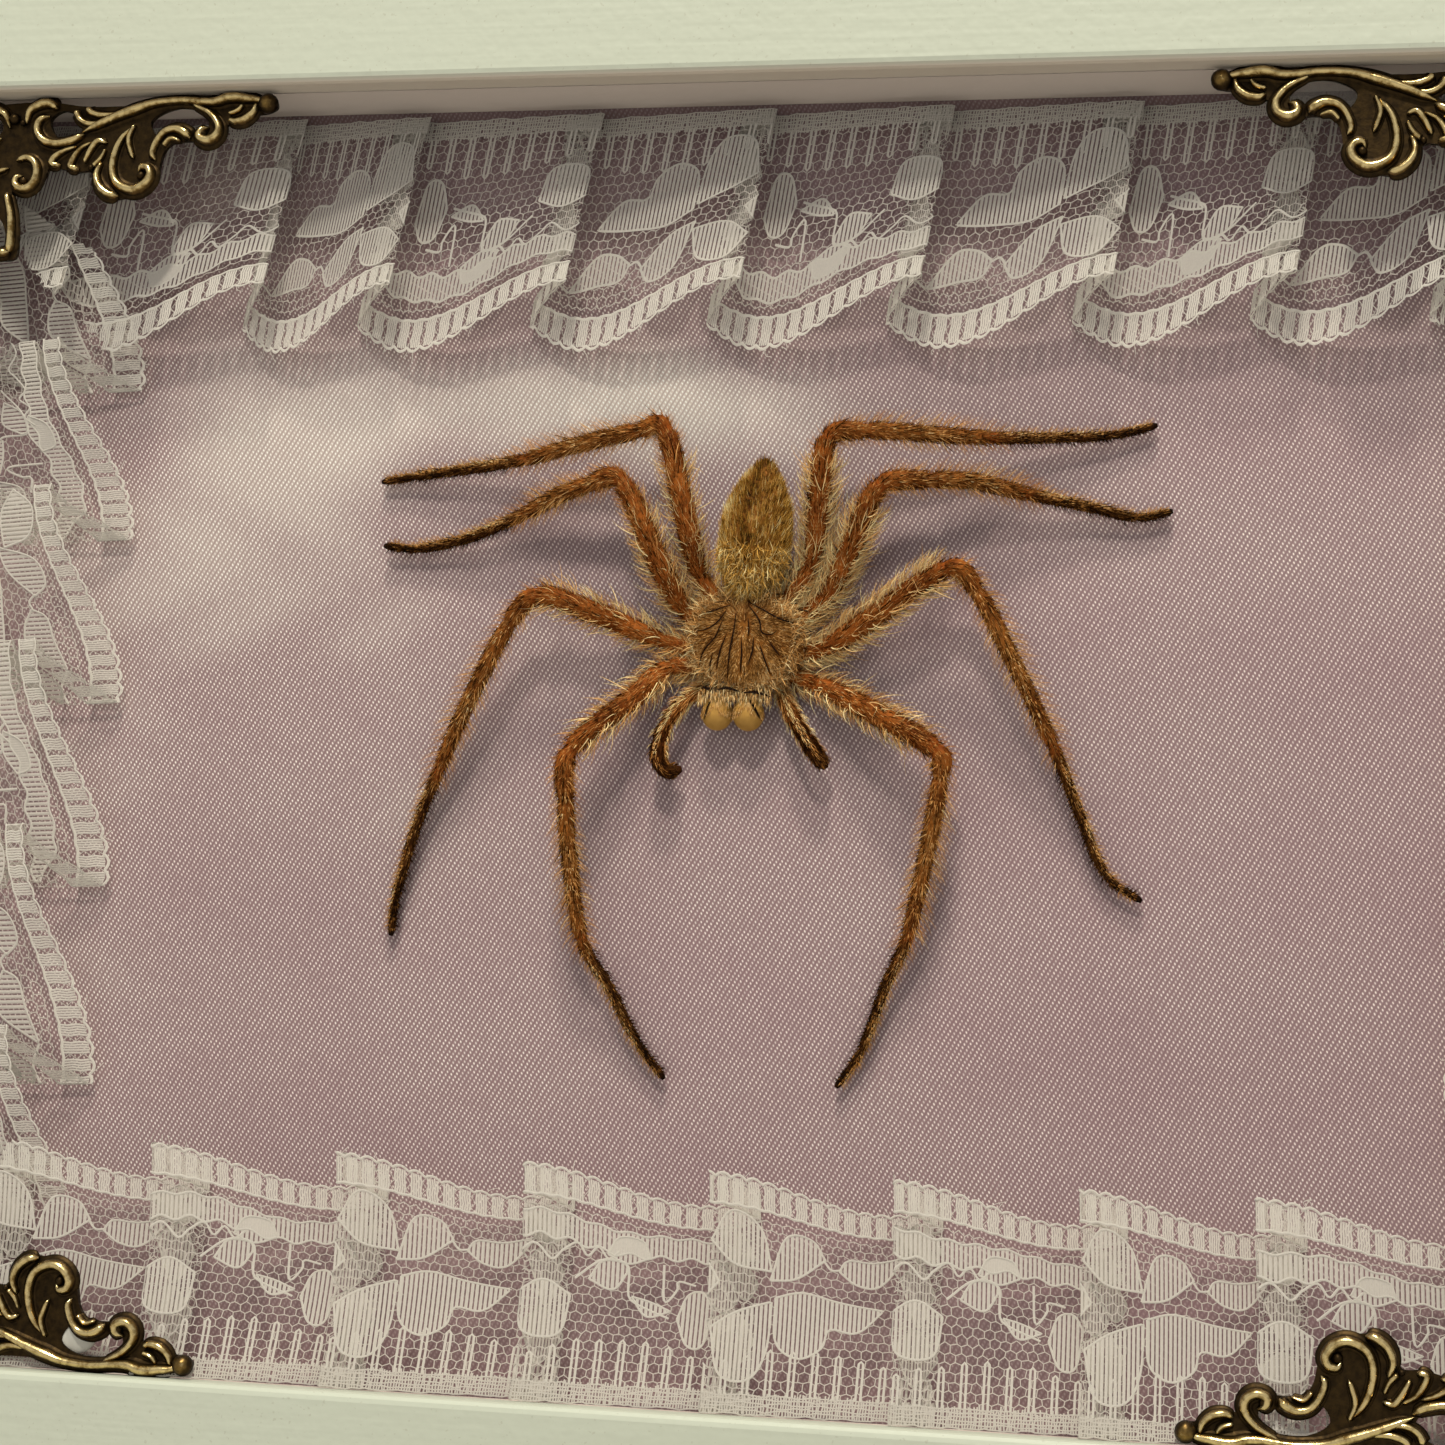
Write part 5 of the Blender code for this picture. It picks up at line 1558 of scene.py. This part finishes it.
def addAbdomen(skin, hair):
    rows, sides = 60, 48
    share = np.linspace(0, 1, rows)
    turn = 2 * np.pi * np.arange(sides) / sides
    draw = np.random.default_rng(body["seed"] + 60)
    shares, turns = np.meshgrid(share, turn, indexing="ij")
    points = abdomenPoint(shares, turns)
    tone = abdomenTone(shares, turns, draw) - 0.08
    ends = [np.repeat(points[i].mean(axis=0)[None, None], sides, 1) for i in (0, -1)]
    points = np.concatenate((ends[0], points, ends[1]))
    tone = np.concatenate((tone[:1], tone, tone[-1:]))
    quads = gridQuads(rows + 2, sides, wrap=True)
    piece = addPiece("abdomenSkin", designWorld(points), quads, skin, "abdomen",
                     values={"tone": tone, "red": np.full_like(tone, 0.05)})
    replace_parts(piece, "abdomen")
    hairs = Hairs(body["seed"] + 61)
    draw = hairs.draw
    rearward = unit(bodyAxes()[1])
    for kind, count, length, lean in abdomenHairs:
        share = draw.uniform(0.0, 0.985, count)
        share = share[draw.random(count) < abdomenSize(share)]
        turn = draw.uniform(-0.25 * np.pi, 1.25 * np.pi, len(share))
        base = abdomenPoint(share, turn)
        normal = unit(abdomenPoint(share, turn, 0.5) - base)
        direction = leaning(normal, rearward, lean + draw.normal(0, 10, len(share)))
        direction += draw.normal(0, 0.20, (len(share), 3))
        tone = abdomenTone(share, turn, draw)
        size = draw.uniform(*length, len(share))
        if kind == "long":
            tone = tone + 0.18
            size = size * np.interp(share, (0, 0.3, 1), (1.25, 0.8, 0.6))
        hairs.add(base, direction, rearward, size, 0.052, tone, 0.10 + draw.normal(0, 0.06, len(share)))
    # long golden hairs over the waist, tufted, combed forward and sideways
    count = body["waistHairs"]
    share, turn = 0.34 * draw.random(count) ** 1.6, draw.uniform(0.0, np.pi, count)
    tuft = np.round(turn * 7) / 7
    turn = turn + 0.7 * (tuft - turn)
    base = abdomenPoint(share, turn)
    normal = unit(abdomenPoint(share, turn, 0.5) - base)
    direction = normal * 0.55 + draw.normal(0, 0.42, (count, 3))
    direction -= rearward * draw.uniform(-0.1, 1.2, count)[:, None]
    hairs.add(base, direction, draw.normal(0, 1, (count, 3)) - rearward, draw.uniform(0.8, 1.9, count), 0.085,
              0.72 + draw.normal(0, 0.17, count), 0.12, curl=1.5, steps=7)
    hairs.piece("abdomenHair", hair, "abdomen")
    print("abdomen grown")


def addChelicerae(hair):
    # two swollen golden jaws with a dark stripe outside each, and short bristles
    made = Nodes("jawGold")
    where = made.places()
    cloud = made.noise(where, 900.0, 4.0)
    base = made.mix(cloud, srgb(152, 108, 40), srgb(206, 156, 76))
    made.bump(made.noise(where, 2600.0, 3.0), 0.4, 0.00008)
    material = made.finish(Base_Color=base, Roughness=0.5, Specular_IOR_Level=0.3)
    for name, across in jaws["across"]:
        points = ballPoints((across, jaws["up"], jaws["height"]), jaws["radii"], 26, 36)
        quads = gridQuads(26, 36, wrap=True)
        piece = addPiece(f"jaw_{name}", designWorld(points), quads, material, "chelicerae")
        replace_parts(piece, f"chelicera_{name}")
    hairs = Hairs(body["seed"] + 80)
    draw = hairs.draw
    count = jaws["bristles"]
    side = np.where(draw.random(count) < 0.5, jaws["across"][0][1], jaws["across"][1][1])
    level, turn = draw.uniform(0.0, 1.3, count), draw.uniform(-0.1 * np.pi, 1.1 * np.pi, count)
    normal = np.stack((np.cos(level) * np.cos(turn), np.cos(level) * np.sin(turn), np.sin(level)), -1)
    middle = np.stack((side, np.full(count, jaws["up"]), np.full(count, jaws["height"])), -1)
    base = middle + normal * np.array(jaws["radii"]) * 0.98
    forward = np.array((0.0, -1.0, 0.0))
    direction = normal * 0.5 + forward + draw.normal(0, 0.25, (count, 3))
    hairs.add(base, direction, np.tile(forward, (count, 1)), draw.uniform(0.15, 0.45, count), 0.045,
              0.60 + draw.normal(0, 0.14, count), 0.0)
    # cream fuzz between the eyes and the jaws
    count = jaws["fuzz"]
    place = draw.uniform(-1.6, 5.2, count), draw.normal(3.75, 0.35, count), draw.uniform(2.6, 3.7, count)
    hairs.add(np.stack(place, -1), np.array((0.0, -1.0, 0.25)) + draw.normal(0, 0.3, (count, 3)), forward,
              draw.uniform(0.35, 0.8, count), 0.070, 0.76 + draw.normal(0, 0.14, count), 0.0)
    hairs.piece("jawHair", hair, "chelicerae")
    print("jaws grown")


def addSpider():
    # hide and hair for every part of the spider
    skin = skinMaterial()
    hair = hairMaterial("bodyHair")
    addLegs(skin, hair)
    addPalps(skin, hair)
    addCarapace(skin, hair)
    addEyes()
    addAbdomen(skin, hairMaterial("abdomenHair", 1.0))
    addChelicerae(hair)


# Filigree corners. Places are (along the arm, in from the edge) in mm from the corner of the opening

filigree = {
    "outline": [(0.6, 0.6), (6.0, 0.5), (12.0, 0.6), (17.8, 0.4), (22.5, 1.0), (29.0, 0.9), (34.0, 0.5),
                (37.0, 0.4), (39.0, 0.7), (40.9, 0.6), (41.3, 1.5), (40.4, 2.0), (39.2, 2.2), (37.6, 3.1),
                (36.4, 3.1), (36.2, 4.4), (35.2, 5.1), (33.8, 4.8), (32.6, 4.6), (31.0, 4.8), (30.2, 5.7),
                (29.9, 7.0), (29.6, 8.6), (28.5, 9.7), (26.8, 10.0), (24.9, 10.1), (23.6, 8.6), (22.9, 7.4),
                (21.3, 7.4), (18.9, 6.9), (18.3, 7.7), (17.4, 9.1), (16.2, 9.6), (15.0, 9.2), (15.5, 11.0),
                (15.9, 13.4), (15.8, 15.8)],
    "holes": [[(28.7, 2.7), (30.2, 1.6), (32.6, 1.3), (34.5, 2.6), (34.2, 3.6), (32.9, 3.5), (31.2, 3.1),
               (29.6, 4.1)],
              [(18.4, 2.3), (19.8, 1.3), (21.4, 2.2), (21.6, 3.5), (19.4, 4.0)],
              [(8.0, 2.7), (10.0, 1.4), (12.6, 1.6), (13.6, 3.0), (12.2, 4.3), (9.4, 4.2)]],
    "drop": [(10.4, 10.4), (12.4, 10.8), (14.3, 12.4), (14.6, 14.6)],
    # each stroke: (along, in, half width)
    "strokes": [
        [(40.2, 1.0, 0.5), (39.3, 0.8, 0.36), (38.4, 0.7, 0.4), (37.4, 0.55, 0.45), (36.4, 0.6, 0.45),
         (35.4, 0.9, 0.4), (34.0, 0.9, 0.36), (31.8, 0.7, 0.34), (29.2, 0.9, 0.36), (27.2, 1.5, 0.44),
         (25.2, 2.2, 0.4), (23.5, 2.9, 0.34), (21.9, 3.6, 0.22)],
        [(39.4, 1.1, 0.22), (39.1, 2.0, 0.3), (38.3, 2.7, 0.34), (37.3, 2.9, 0.3), (36.6, 2.6, 0.2)],
        [(38.0, 1.2, 0.18), (37.5, 1.8, 0.24), (36.6, 2.1, 0.2)],
        [(32.8, 1.0, 0.2), (34.7, 2.0, 0.3), (35.7, 3.2, 0.36), (35.6, 4.2, 0.4), (34.8, 4.7, 0.42),
         (33.9, 4.4, 0.4), (34.0, 3.7, 0.34), (34.7, 3.4, 0.2)],
        [(32.9, 4.4, 0.34), (32.4, 3.9, 0.42), (31.5, 3.5, 0.38), (30.4, 3.7, 0.33), (29.6, 4.6, 0.3),
         (29.2, 5.8, 0.28), (29.5, 6.5, 0.2)],
        [(31.9, 4.6, 0.16), (30.9, 4.4, 0.22), (30.2, 5.1, 0.2)],
        [(26.9, 3.2, 0.2), (25.9, 4.5, 0.28), (25.4, 5.9, 0.32), (25.3, 7.3, 0.34), (25.7, 8.5, 0.36),
         (26.6, 9.2, 0.4), (27.7, 9.4, 0.42), (28.7, 8.9, 0.42), (29.2, 8.0, 0.4), (28.9, 7.3, 0.36),
         (28.2, 7.2, 0.32), (27.9, 7.8, 0.25)],
        [(27.2, 2.9, 0.18), (26.7, 4.3, 0.25), (27.0, 5.6, 0.24), (27.3, 6.3, 0.14)],
        [(24.1, 6.6, 0.18), (23.7, 7.8, 0.3), (24.1, 9.0, 0.38), (25.1, 9.8, 0.38), (26.0, 9.9, 0.24)],
        [(24.5, 4.7, 0.18), (23.6, 4.5, 0.28), (22.9, 5.4, 0.27), (22.3, 6.6, 0.2)],
        [(23.0, 4.6, 0.16), (21.9, 5.2, 0.22), (21.2, 6.2, 0.28), (21.0, 7.0, 0.3), (21.8, 7.2, 0.26)],
        [(21.4, 5.0, 0.16), (20.2, 5.4, 0.24), (19.2, 6.1, 0.3), (19.1, 6.7, 0.3), (19.9, 6.8, 0.2)],
        [(24.4, 5.3, 0.16), (24.0, 6.2, 0.22), (23.3, 7.0, 0.26)],
        [(18.4, 1.9, 0.2), (17.5, 2.3, 0.32), (17.3, 3.3, 0.36), (18.0, 4.3, 0.38), (19.4, 4.7, 0.38),
         (21.0, 4.4, 0.36), (22.1, 3.8, 0.26)],
        [(16.1, 2.6, 0.2), (16.4, 1.4, 0.34), (17.4, 0.8, 0.42), (18.4, 0.7, 0.42), (19.2, 1.2, 0.28)],
        [(21.1, 1.4, 0.34), (21.6, 2.3, 0.3), (22.6, 2.8, 0.28), (23.9, 2.7, 0.25), (25.0, 2.3, 0.2)],
        [(22.2, 1.2, 0.3), (22.8, 1.7, 0.3), (23.9, 2.0, 0.3), (25.3, 1.9, 0.22)],
        [(15.3, 6.3, 0.2), (16.4, 6.0, 0.32), (17.3, 6.5, 0.36), (17.6, 7.6, 0.38), (17.2, 8.7, 0.38),
         (16.3, 9.1, 0.38), (15.5, 8.7, 0.36), (15.5, 8.0, 0.3), (16.1, 7.8, 0.25)],
        [(14.6, 9.4, 0.3), (15.2, 11.6, 0.34), (15.4, 13.8, 0.36), (15.3, 15.3, 0.36)],
        [(14.4, 3.0, 0.24), (13.8, 1.6, 0.34), (12.0, 0.9, 0.4), (9.6, 0.9, 0.4), (7.6, 1.6, 0.36),
         (7.0, 2.8, 0.34), (7.8, 4.2, 0.34), (9.6, 4.8, 0.34), (11.8, 4.8, 0.32), (13.6, 4.0, 0.28)],
        [(6.4, 1.0, 0.3), (3.8, 1.0, 0.38), (1.2, 1.1, 0.42)],
        [(13.2, 5.4, 0.18), (10.8, 5.8, 0.28), (8.2, 5.8, 0.3), (5.6, 4.4, 0.24), (3.6, 2.6, 0.2)],
        [(14.6, 7.0, 0.18), (12.4, 7.6, 0.3), (10.2, 7.8, 0.3), (7.6, 6.9, 0.22)],
        [(12.8, 9.4, 0.18), (11.0, 9.4, 0.28), (9.6, 9.2, 0.26), (8.2, 8.2, 0.2)],
    ],
    # (along, in, radius)
    "balls": [(40.5, 1.2, 0.98), (34.1, 4.0, 0.5), (32.5, 4.2, 0.44), (28.2, 8.0, 0.46), (14.8, 2.1, 0.55),
              (15.7, 2.5, 0.32), (16.2, 8.3, 0.42), (23.0, 7.1, 0.3)],
    "plate": 0.6,  # thickness of the pierced plate
    "ridge": 1.45,  # height of a full ridge over the glass
    "ceiling": 1.75,
    "lift": 0.05,
    "stray": 1.28,  # how much wider a stroke is cast than drawn
}
filigreeDrops = {
    # clear glue in the long opening of the top right corner, cloudy white glue at the bottom left: the
    # corner as right and up, the place as along and in, and the half sizes
    "clear": ((1, 1), (31.6, 2.7), (3.3, 1.7, 0.6)),
    "milky": ((-1, -1), (29.3, 3.3), (2.6, 1.9, 0.5)),
}


def filigreePlace(along, inward, rise, right, up, swap=False):
    # a place on a corner piece; rise is counted from the glass towards the viewer
    if swap:
        along, inward = inward, along
    x = right * (sight["halfWidth"] - along)
    z = up * (sight["halfHeight"] - inward)
    return toWorld(x, z, satinFace - glassLow[1] + rise)


def strokePoints(stroke, right, up, swap):
    # a ridge carried along a curve: its height is ridge * (0.55 + 0.45 * width share) times a crown
    # 0.70 * (1 - u^2)^0.6 on a shoulder 0.30 * (1 - (u / 1.7)^2)^0.5, over a flat base; ends taper
    count = max(14, 7 * len(stroke))
    line = curveThrough(stroke, count)
    run = unit(np.gradient(line[:, :2], axis=0))
    sideways = np.stack((-run[:, 1], run[:, 0]), -1)
    share = np.linspace(0, 1, count)
    half = filigree["stray"] * line[:, 2] * np.clip(np.minimum(share, 1 - share) * 14 + 0.08, 0, 1) ** 0.5
    across = np.array((-1.7, -1.35, -1.0, -0.75, -0.4, 0.0, 0.4, 0.75, 1.0, 1.35, 1.7))
    crown = 0.70 * np.clip(1 - across ** 2, 0, 1) ** 0.6
    crown += 0.30 * np.clip(1 - (across / 1.7) ** 2, 0, 1) ** 0.5
    # two more points close the ridge below
    u = np.concatenate((across, (0.9, -0.9)))
    bulge = np.concatenate((crown, (0.0, 0.0)))
    base = np.where(np.arange(len(u)) < len(across), 0.5, 0.1)
    flat = line[:, None, :2] + sideways[:, None] * (half[:, None] * u[None])[..., None]
    top = filigree["ridge"] * (0.55 + 0.45 * half / 0.44)
    rise = np.minimum(base[None] + (top[:, None] - base[None]) * bulge[None], filigree["ceiling"])
    points = filigreePlace(flat[..., 0], flat[..., 1], rise, right, up, swap)
    return points, np.broadcast_to(bulge, rise.shape)


def smoothLoop(loop, steps=4):
    # Catmull-Rom round a closed line
    a, b, c, d = (np.roll(np.array(loop), k, axis=0)[:, None] for k in (1, 0, -1, -2))
    t = np.linspace(0, 1, steps, endpoint=False)[None, :, None]
    return catmullRom(a, b, c, d, t).reshape(-1, 2)


def mirrored(line):
    # half of a closed line, and its image across the corner's diagonal
    return line + [(b, a) for a, b in line[-2:0:-1]]


def plateMesh(right, up):
    # the pierced plate under the ridges: its smooth outline and holes, filled and given an edge
    holes = [smoothLoop(hole) for hole in filigree["holes"]]
    holes += [hole[::-1, ::-1] for hole in holes]
    loops = [smoothLoop(mirrored(filigree["outline"])), *holes, smoothLoop(mirrored(filigree["drop"]))]
    flat = np.concatenate(loops)
    count = len(flat)
    filled = tessellate_polygon([[Vector((a, b, 0.0)) for a, b in loop] for loop in loops])
    faces = [tuple(face) for face in filled] + [tuple(i + count for i in reversed(face)) for face in filled]
    start = 0
    for loop in loops:
        own = start + np.arange(len(loop))
        following = np.roll(own, -1)
        faces += np.stack((own, own + count, following + count, following), -1).tolist()
        start += len(loop)
    sides = [filigreePlace(flat[:, 0], flat[:, 1], np.full(count, filigree[height]), right, up)
             for height in ("plate", "lift")]
    return np.concatenate(sides), faces


def bronzeMaterial():
    # antique bronze: near black in the recesses, brown on the flanks, rubbed gold on the ridges
    made = Nodes("antiqueBronze")
    where = made.places()
    wear = made.noise(where, 1400.0, 3.0, 0.6)
    relief = made.plus(made.value("relief"), made.line(wear, 0.9, -0.45))
    base = made.ramp(relief, [(0.0, srgb(34, 24, 12)), (0.45, srgb(68, 51, 26)), (0.76, srgb(134, 106, 58)),
                              (1.0, srgb(226, 200, 142))])
    rough = made.ramp(relief, [(0.1, (0.5, 0.5, 0.5)), (0.9, (0.24, 0.24, 0.24))])
    made.bump(made.noise(where, 3000.0, 1.0), 0.25, 0.00008)
    return made.finish(Base_Color=base, Metallic=0.92, Roughness=rough)


def reliefParts(right, up):
    # the ridges and balls of one corner piece: the strokes and their images across its diagonal. Each part
    # is points, how far they stand out, and faces
    for swap in (False, True):
        turned = (right * up > 0) != swap
        for stroke in filigree["strokes"]:
            points, rise = strokePoints(stroke, right, up, swap)
            faces = gridQuads(*rise.shape, wrap=True)
            yield points, rise, faces[:, ::-1] if turned else faces
        for along, inward, radius in filigree["balls"]:
            ball = ballPoints((along, inward, 0.72), (radius, radius, min(radius * 1.05, 1.0)))
            rise = np.clip(ball[..., 2] + 0.05, 0.05, 1.78)
            points = filigreePlace(ball[..., 0], ball[..., 1], rise, right, up, swap)
            faces = gridQuads(*rise.shape, wrap=True)
            relief = 0.10 + 0.60 * np.clip((ball[..., 2] - 0.6) / 1.1, 0, 1) ** 2
            yield points, relief, faces if turned else faces[:, ::-1]


def addCorner(name, right, up, material):
    points, relief, faces, start = [], [], [], 0
    for part, rise, quads in reliefParts(right, up):
        points.append(part.reshape(-1, 3))
        relief.append(rise.ravel())
        faces += (quads + start).tolist()
        start += rise.size
    plate, plateFaces = plateMesh(right, up)
    points.append(plate)
    relief.append(np.full(len(plate), 0.20))
    faces += [tuple(i + start for i in face) for face in plateFaces]
    mesh = bpy.data.meshes.new(f"filigreeRelief_{name}")
    mesh.from_pydata(np.concatenate(points).tolist(), [], faces)
    heights = mesh.attributes.new("relief", "FLOAT", "POINT")
    heights.data.foreach_set("value", np.concatenate(relief).astype(np.float32))
    mesh.shade_smooth()
    mesh.set_sharp_from_angle(angle=math.radians(50))
    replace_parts(linkPiece(mesh, material, "antique_bronze"), f"filigree_corner_{name}")


def addFiligree():
    material = bronzeMaterial()
    for upright, up in (("top", 1), ("bottom", -1)):
        for sideways, right in (("left", -1), ("right", 1)):
            addCorner(f"{upright}_{sideways}", right, up, material)
    addGlue()
    print("filigree corners laid")


def addGlue():
    # a low clear drop and a low milky drop on the glass
    clear = Nodes("clearGlue")
    base = clear.mix(clear.noise(clear.places(), 400.0), srgb(238, 236, 230), srgb(250, 250, 247))
    clear.finish(Base_Color=base, Roughness=0.05, Transmission_Weight=1.0, IOR=1.4)
    milk = Nodes("milkyGlue")
    base = milk.mix(milk.noise(milk.places(), 700.0, 4.0), srgb(214, 206, 190), srgb(246, 242, 230))
    milk.finish(Base_Color=base, Roughness=0.35, Transmission_Weight=0.25, IOR=1.42)
    materials = {"clear": clear.letThrough(0.6, clear.shader), "milky": milk.material}
    for name, material in materials.items():
        (right, up), (along, inward), radii = filigreeDrops[name]
        dome = ballPoints((along, inward, 0.0), radii, 16, 32)
        points = filigreePlace(dome[..., 0], dome[..., 1], np.maximum(dome[..., 2], 0.0) + 0.02, right, up)
        addPiece(f"glueDrop_{name}", points, gridQuads(16, 32, wrap=True), material, "antique_bronze")


def writeSizes():
    bounds = {"cad": cadBounds, "visual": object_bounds()}
    sizes = {key: [list(corner) for corner in corners] for key, corners in bounds.items()}


addCamera()
addLights()
addFloor()
dressFrame()
addSatin()
addRuffles()
addSpider()
addFiligree()
writeSizes()
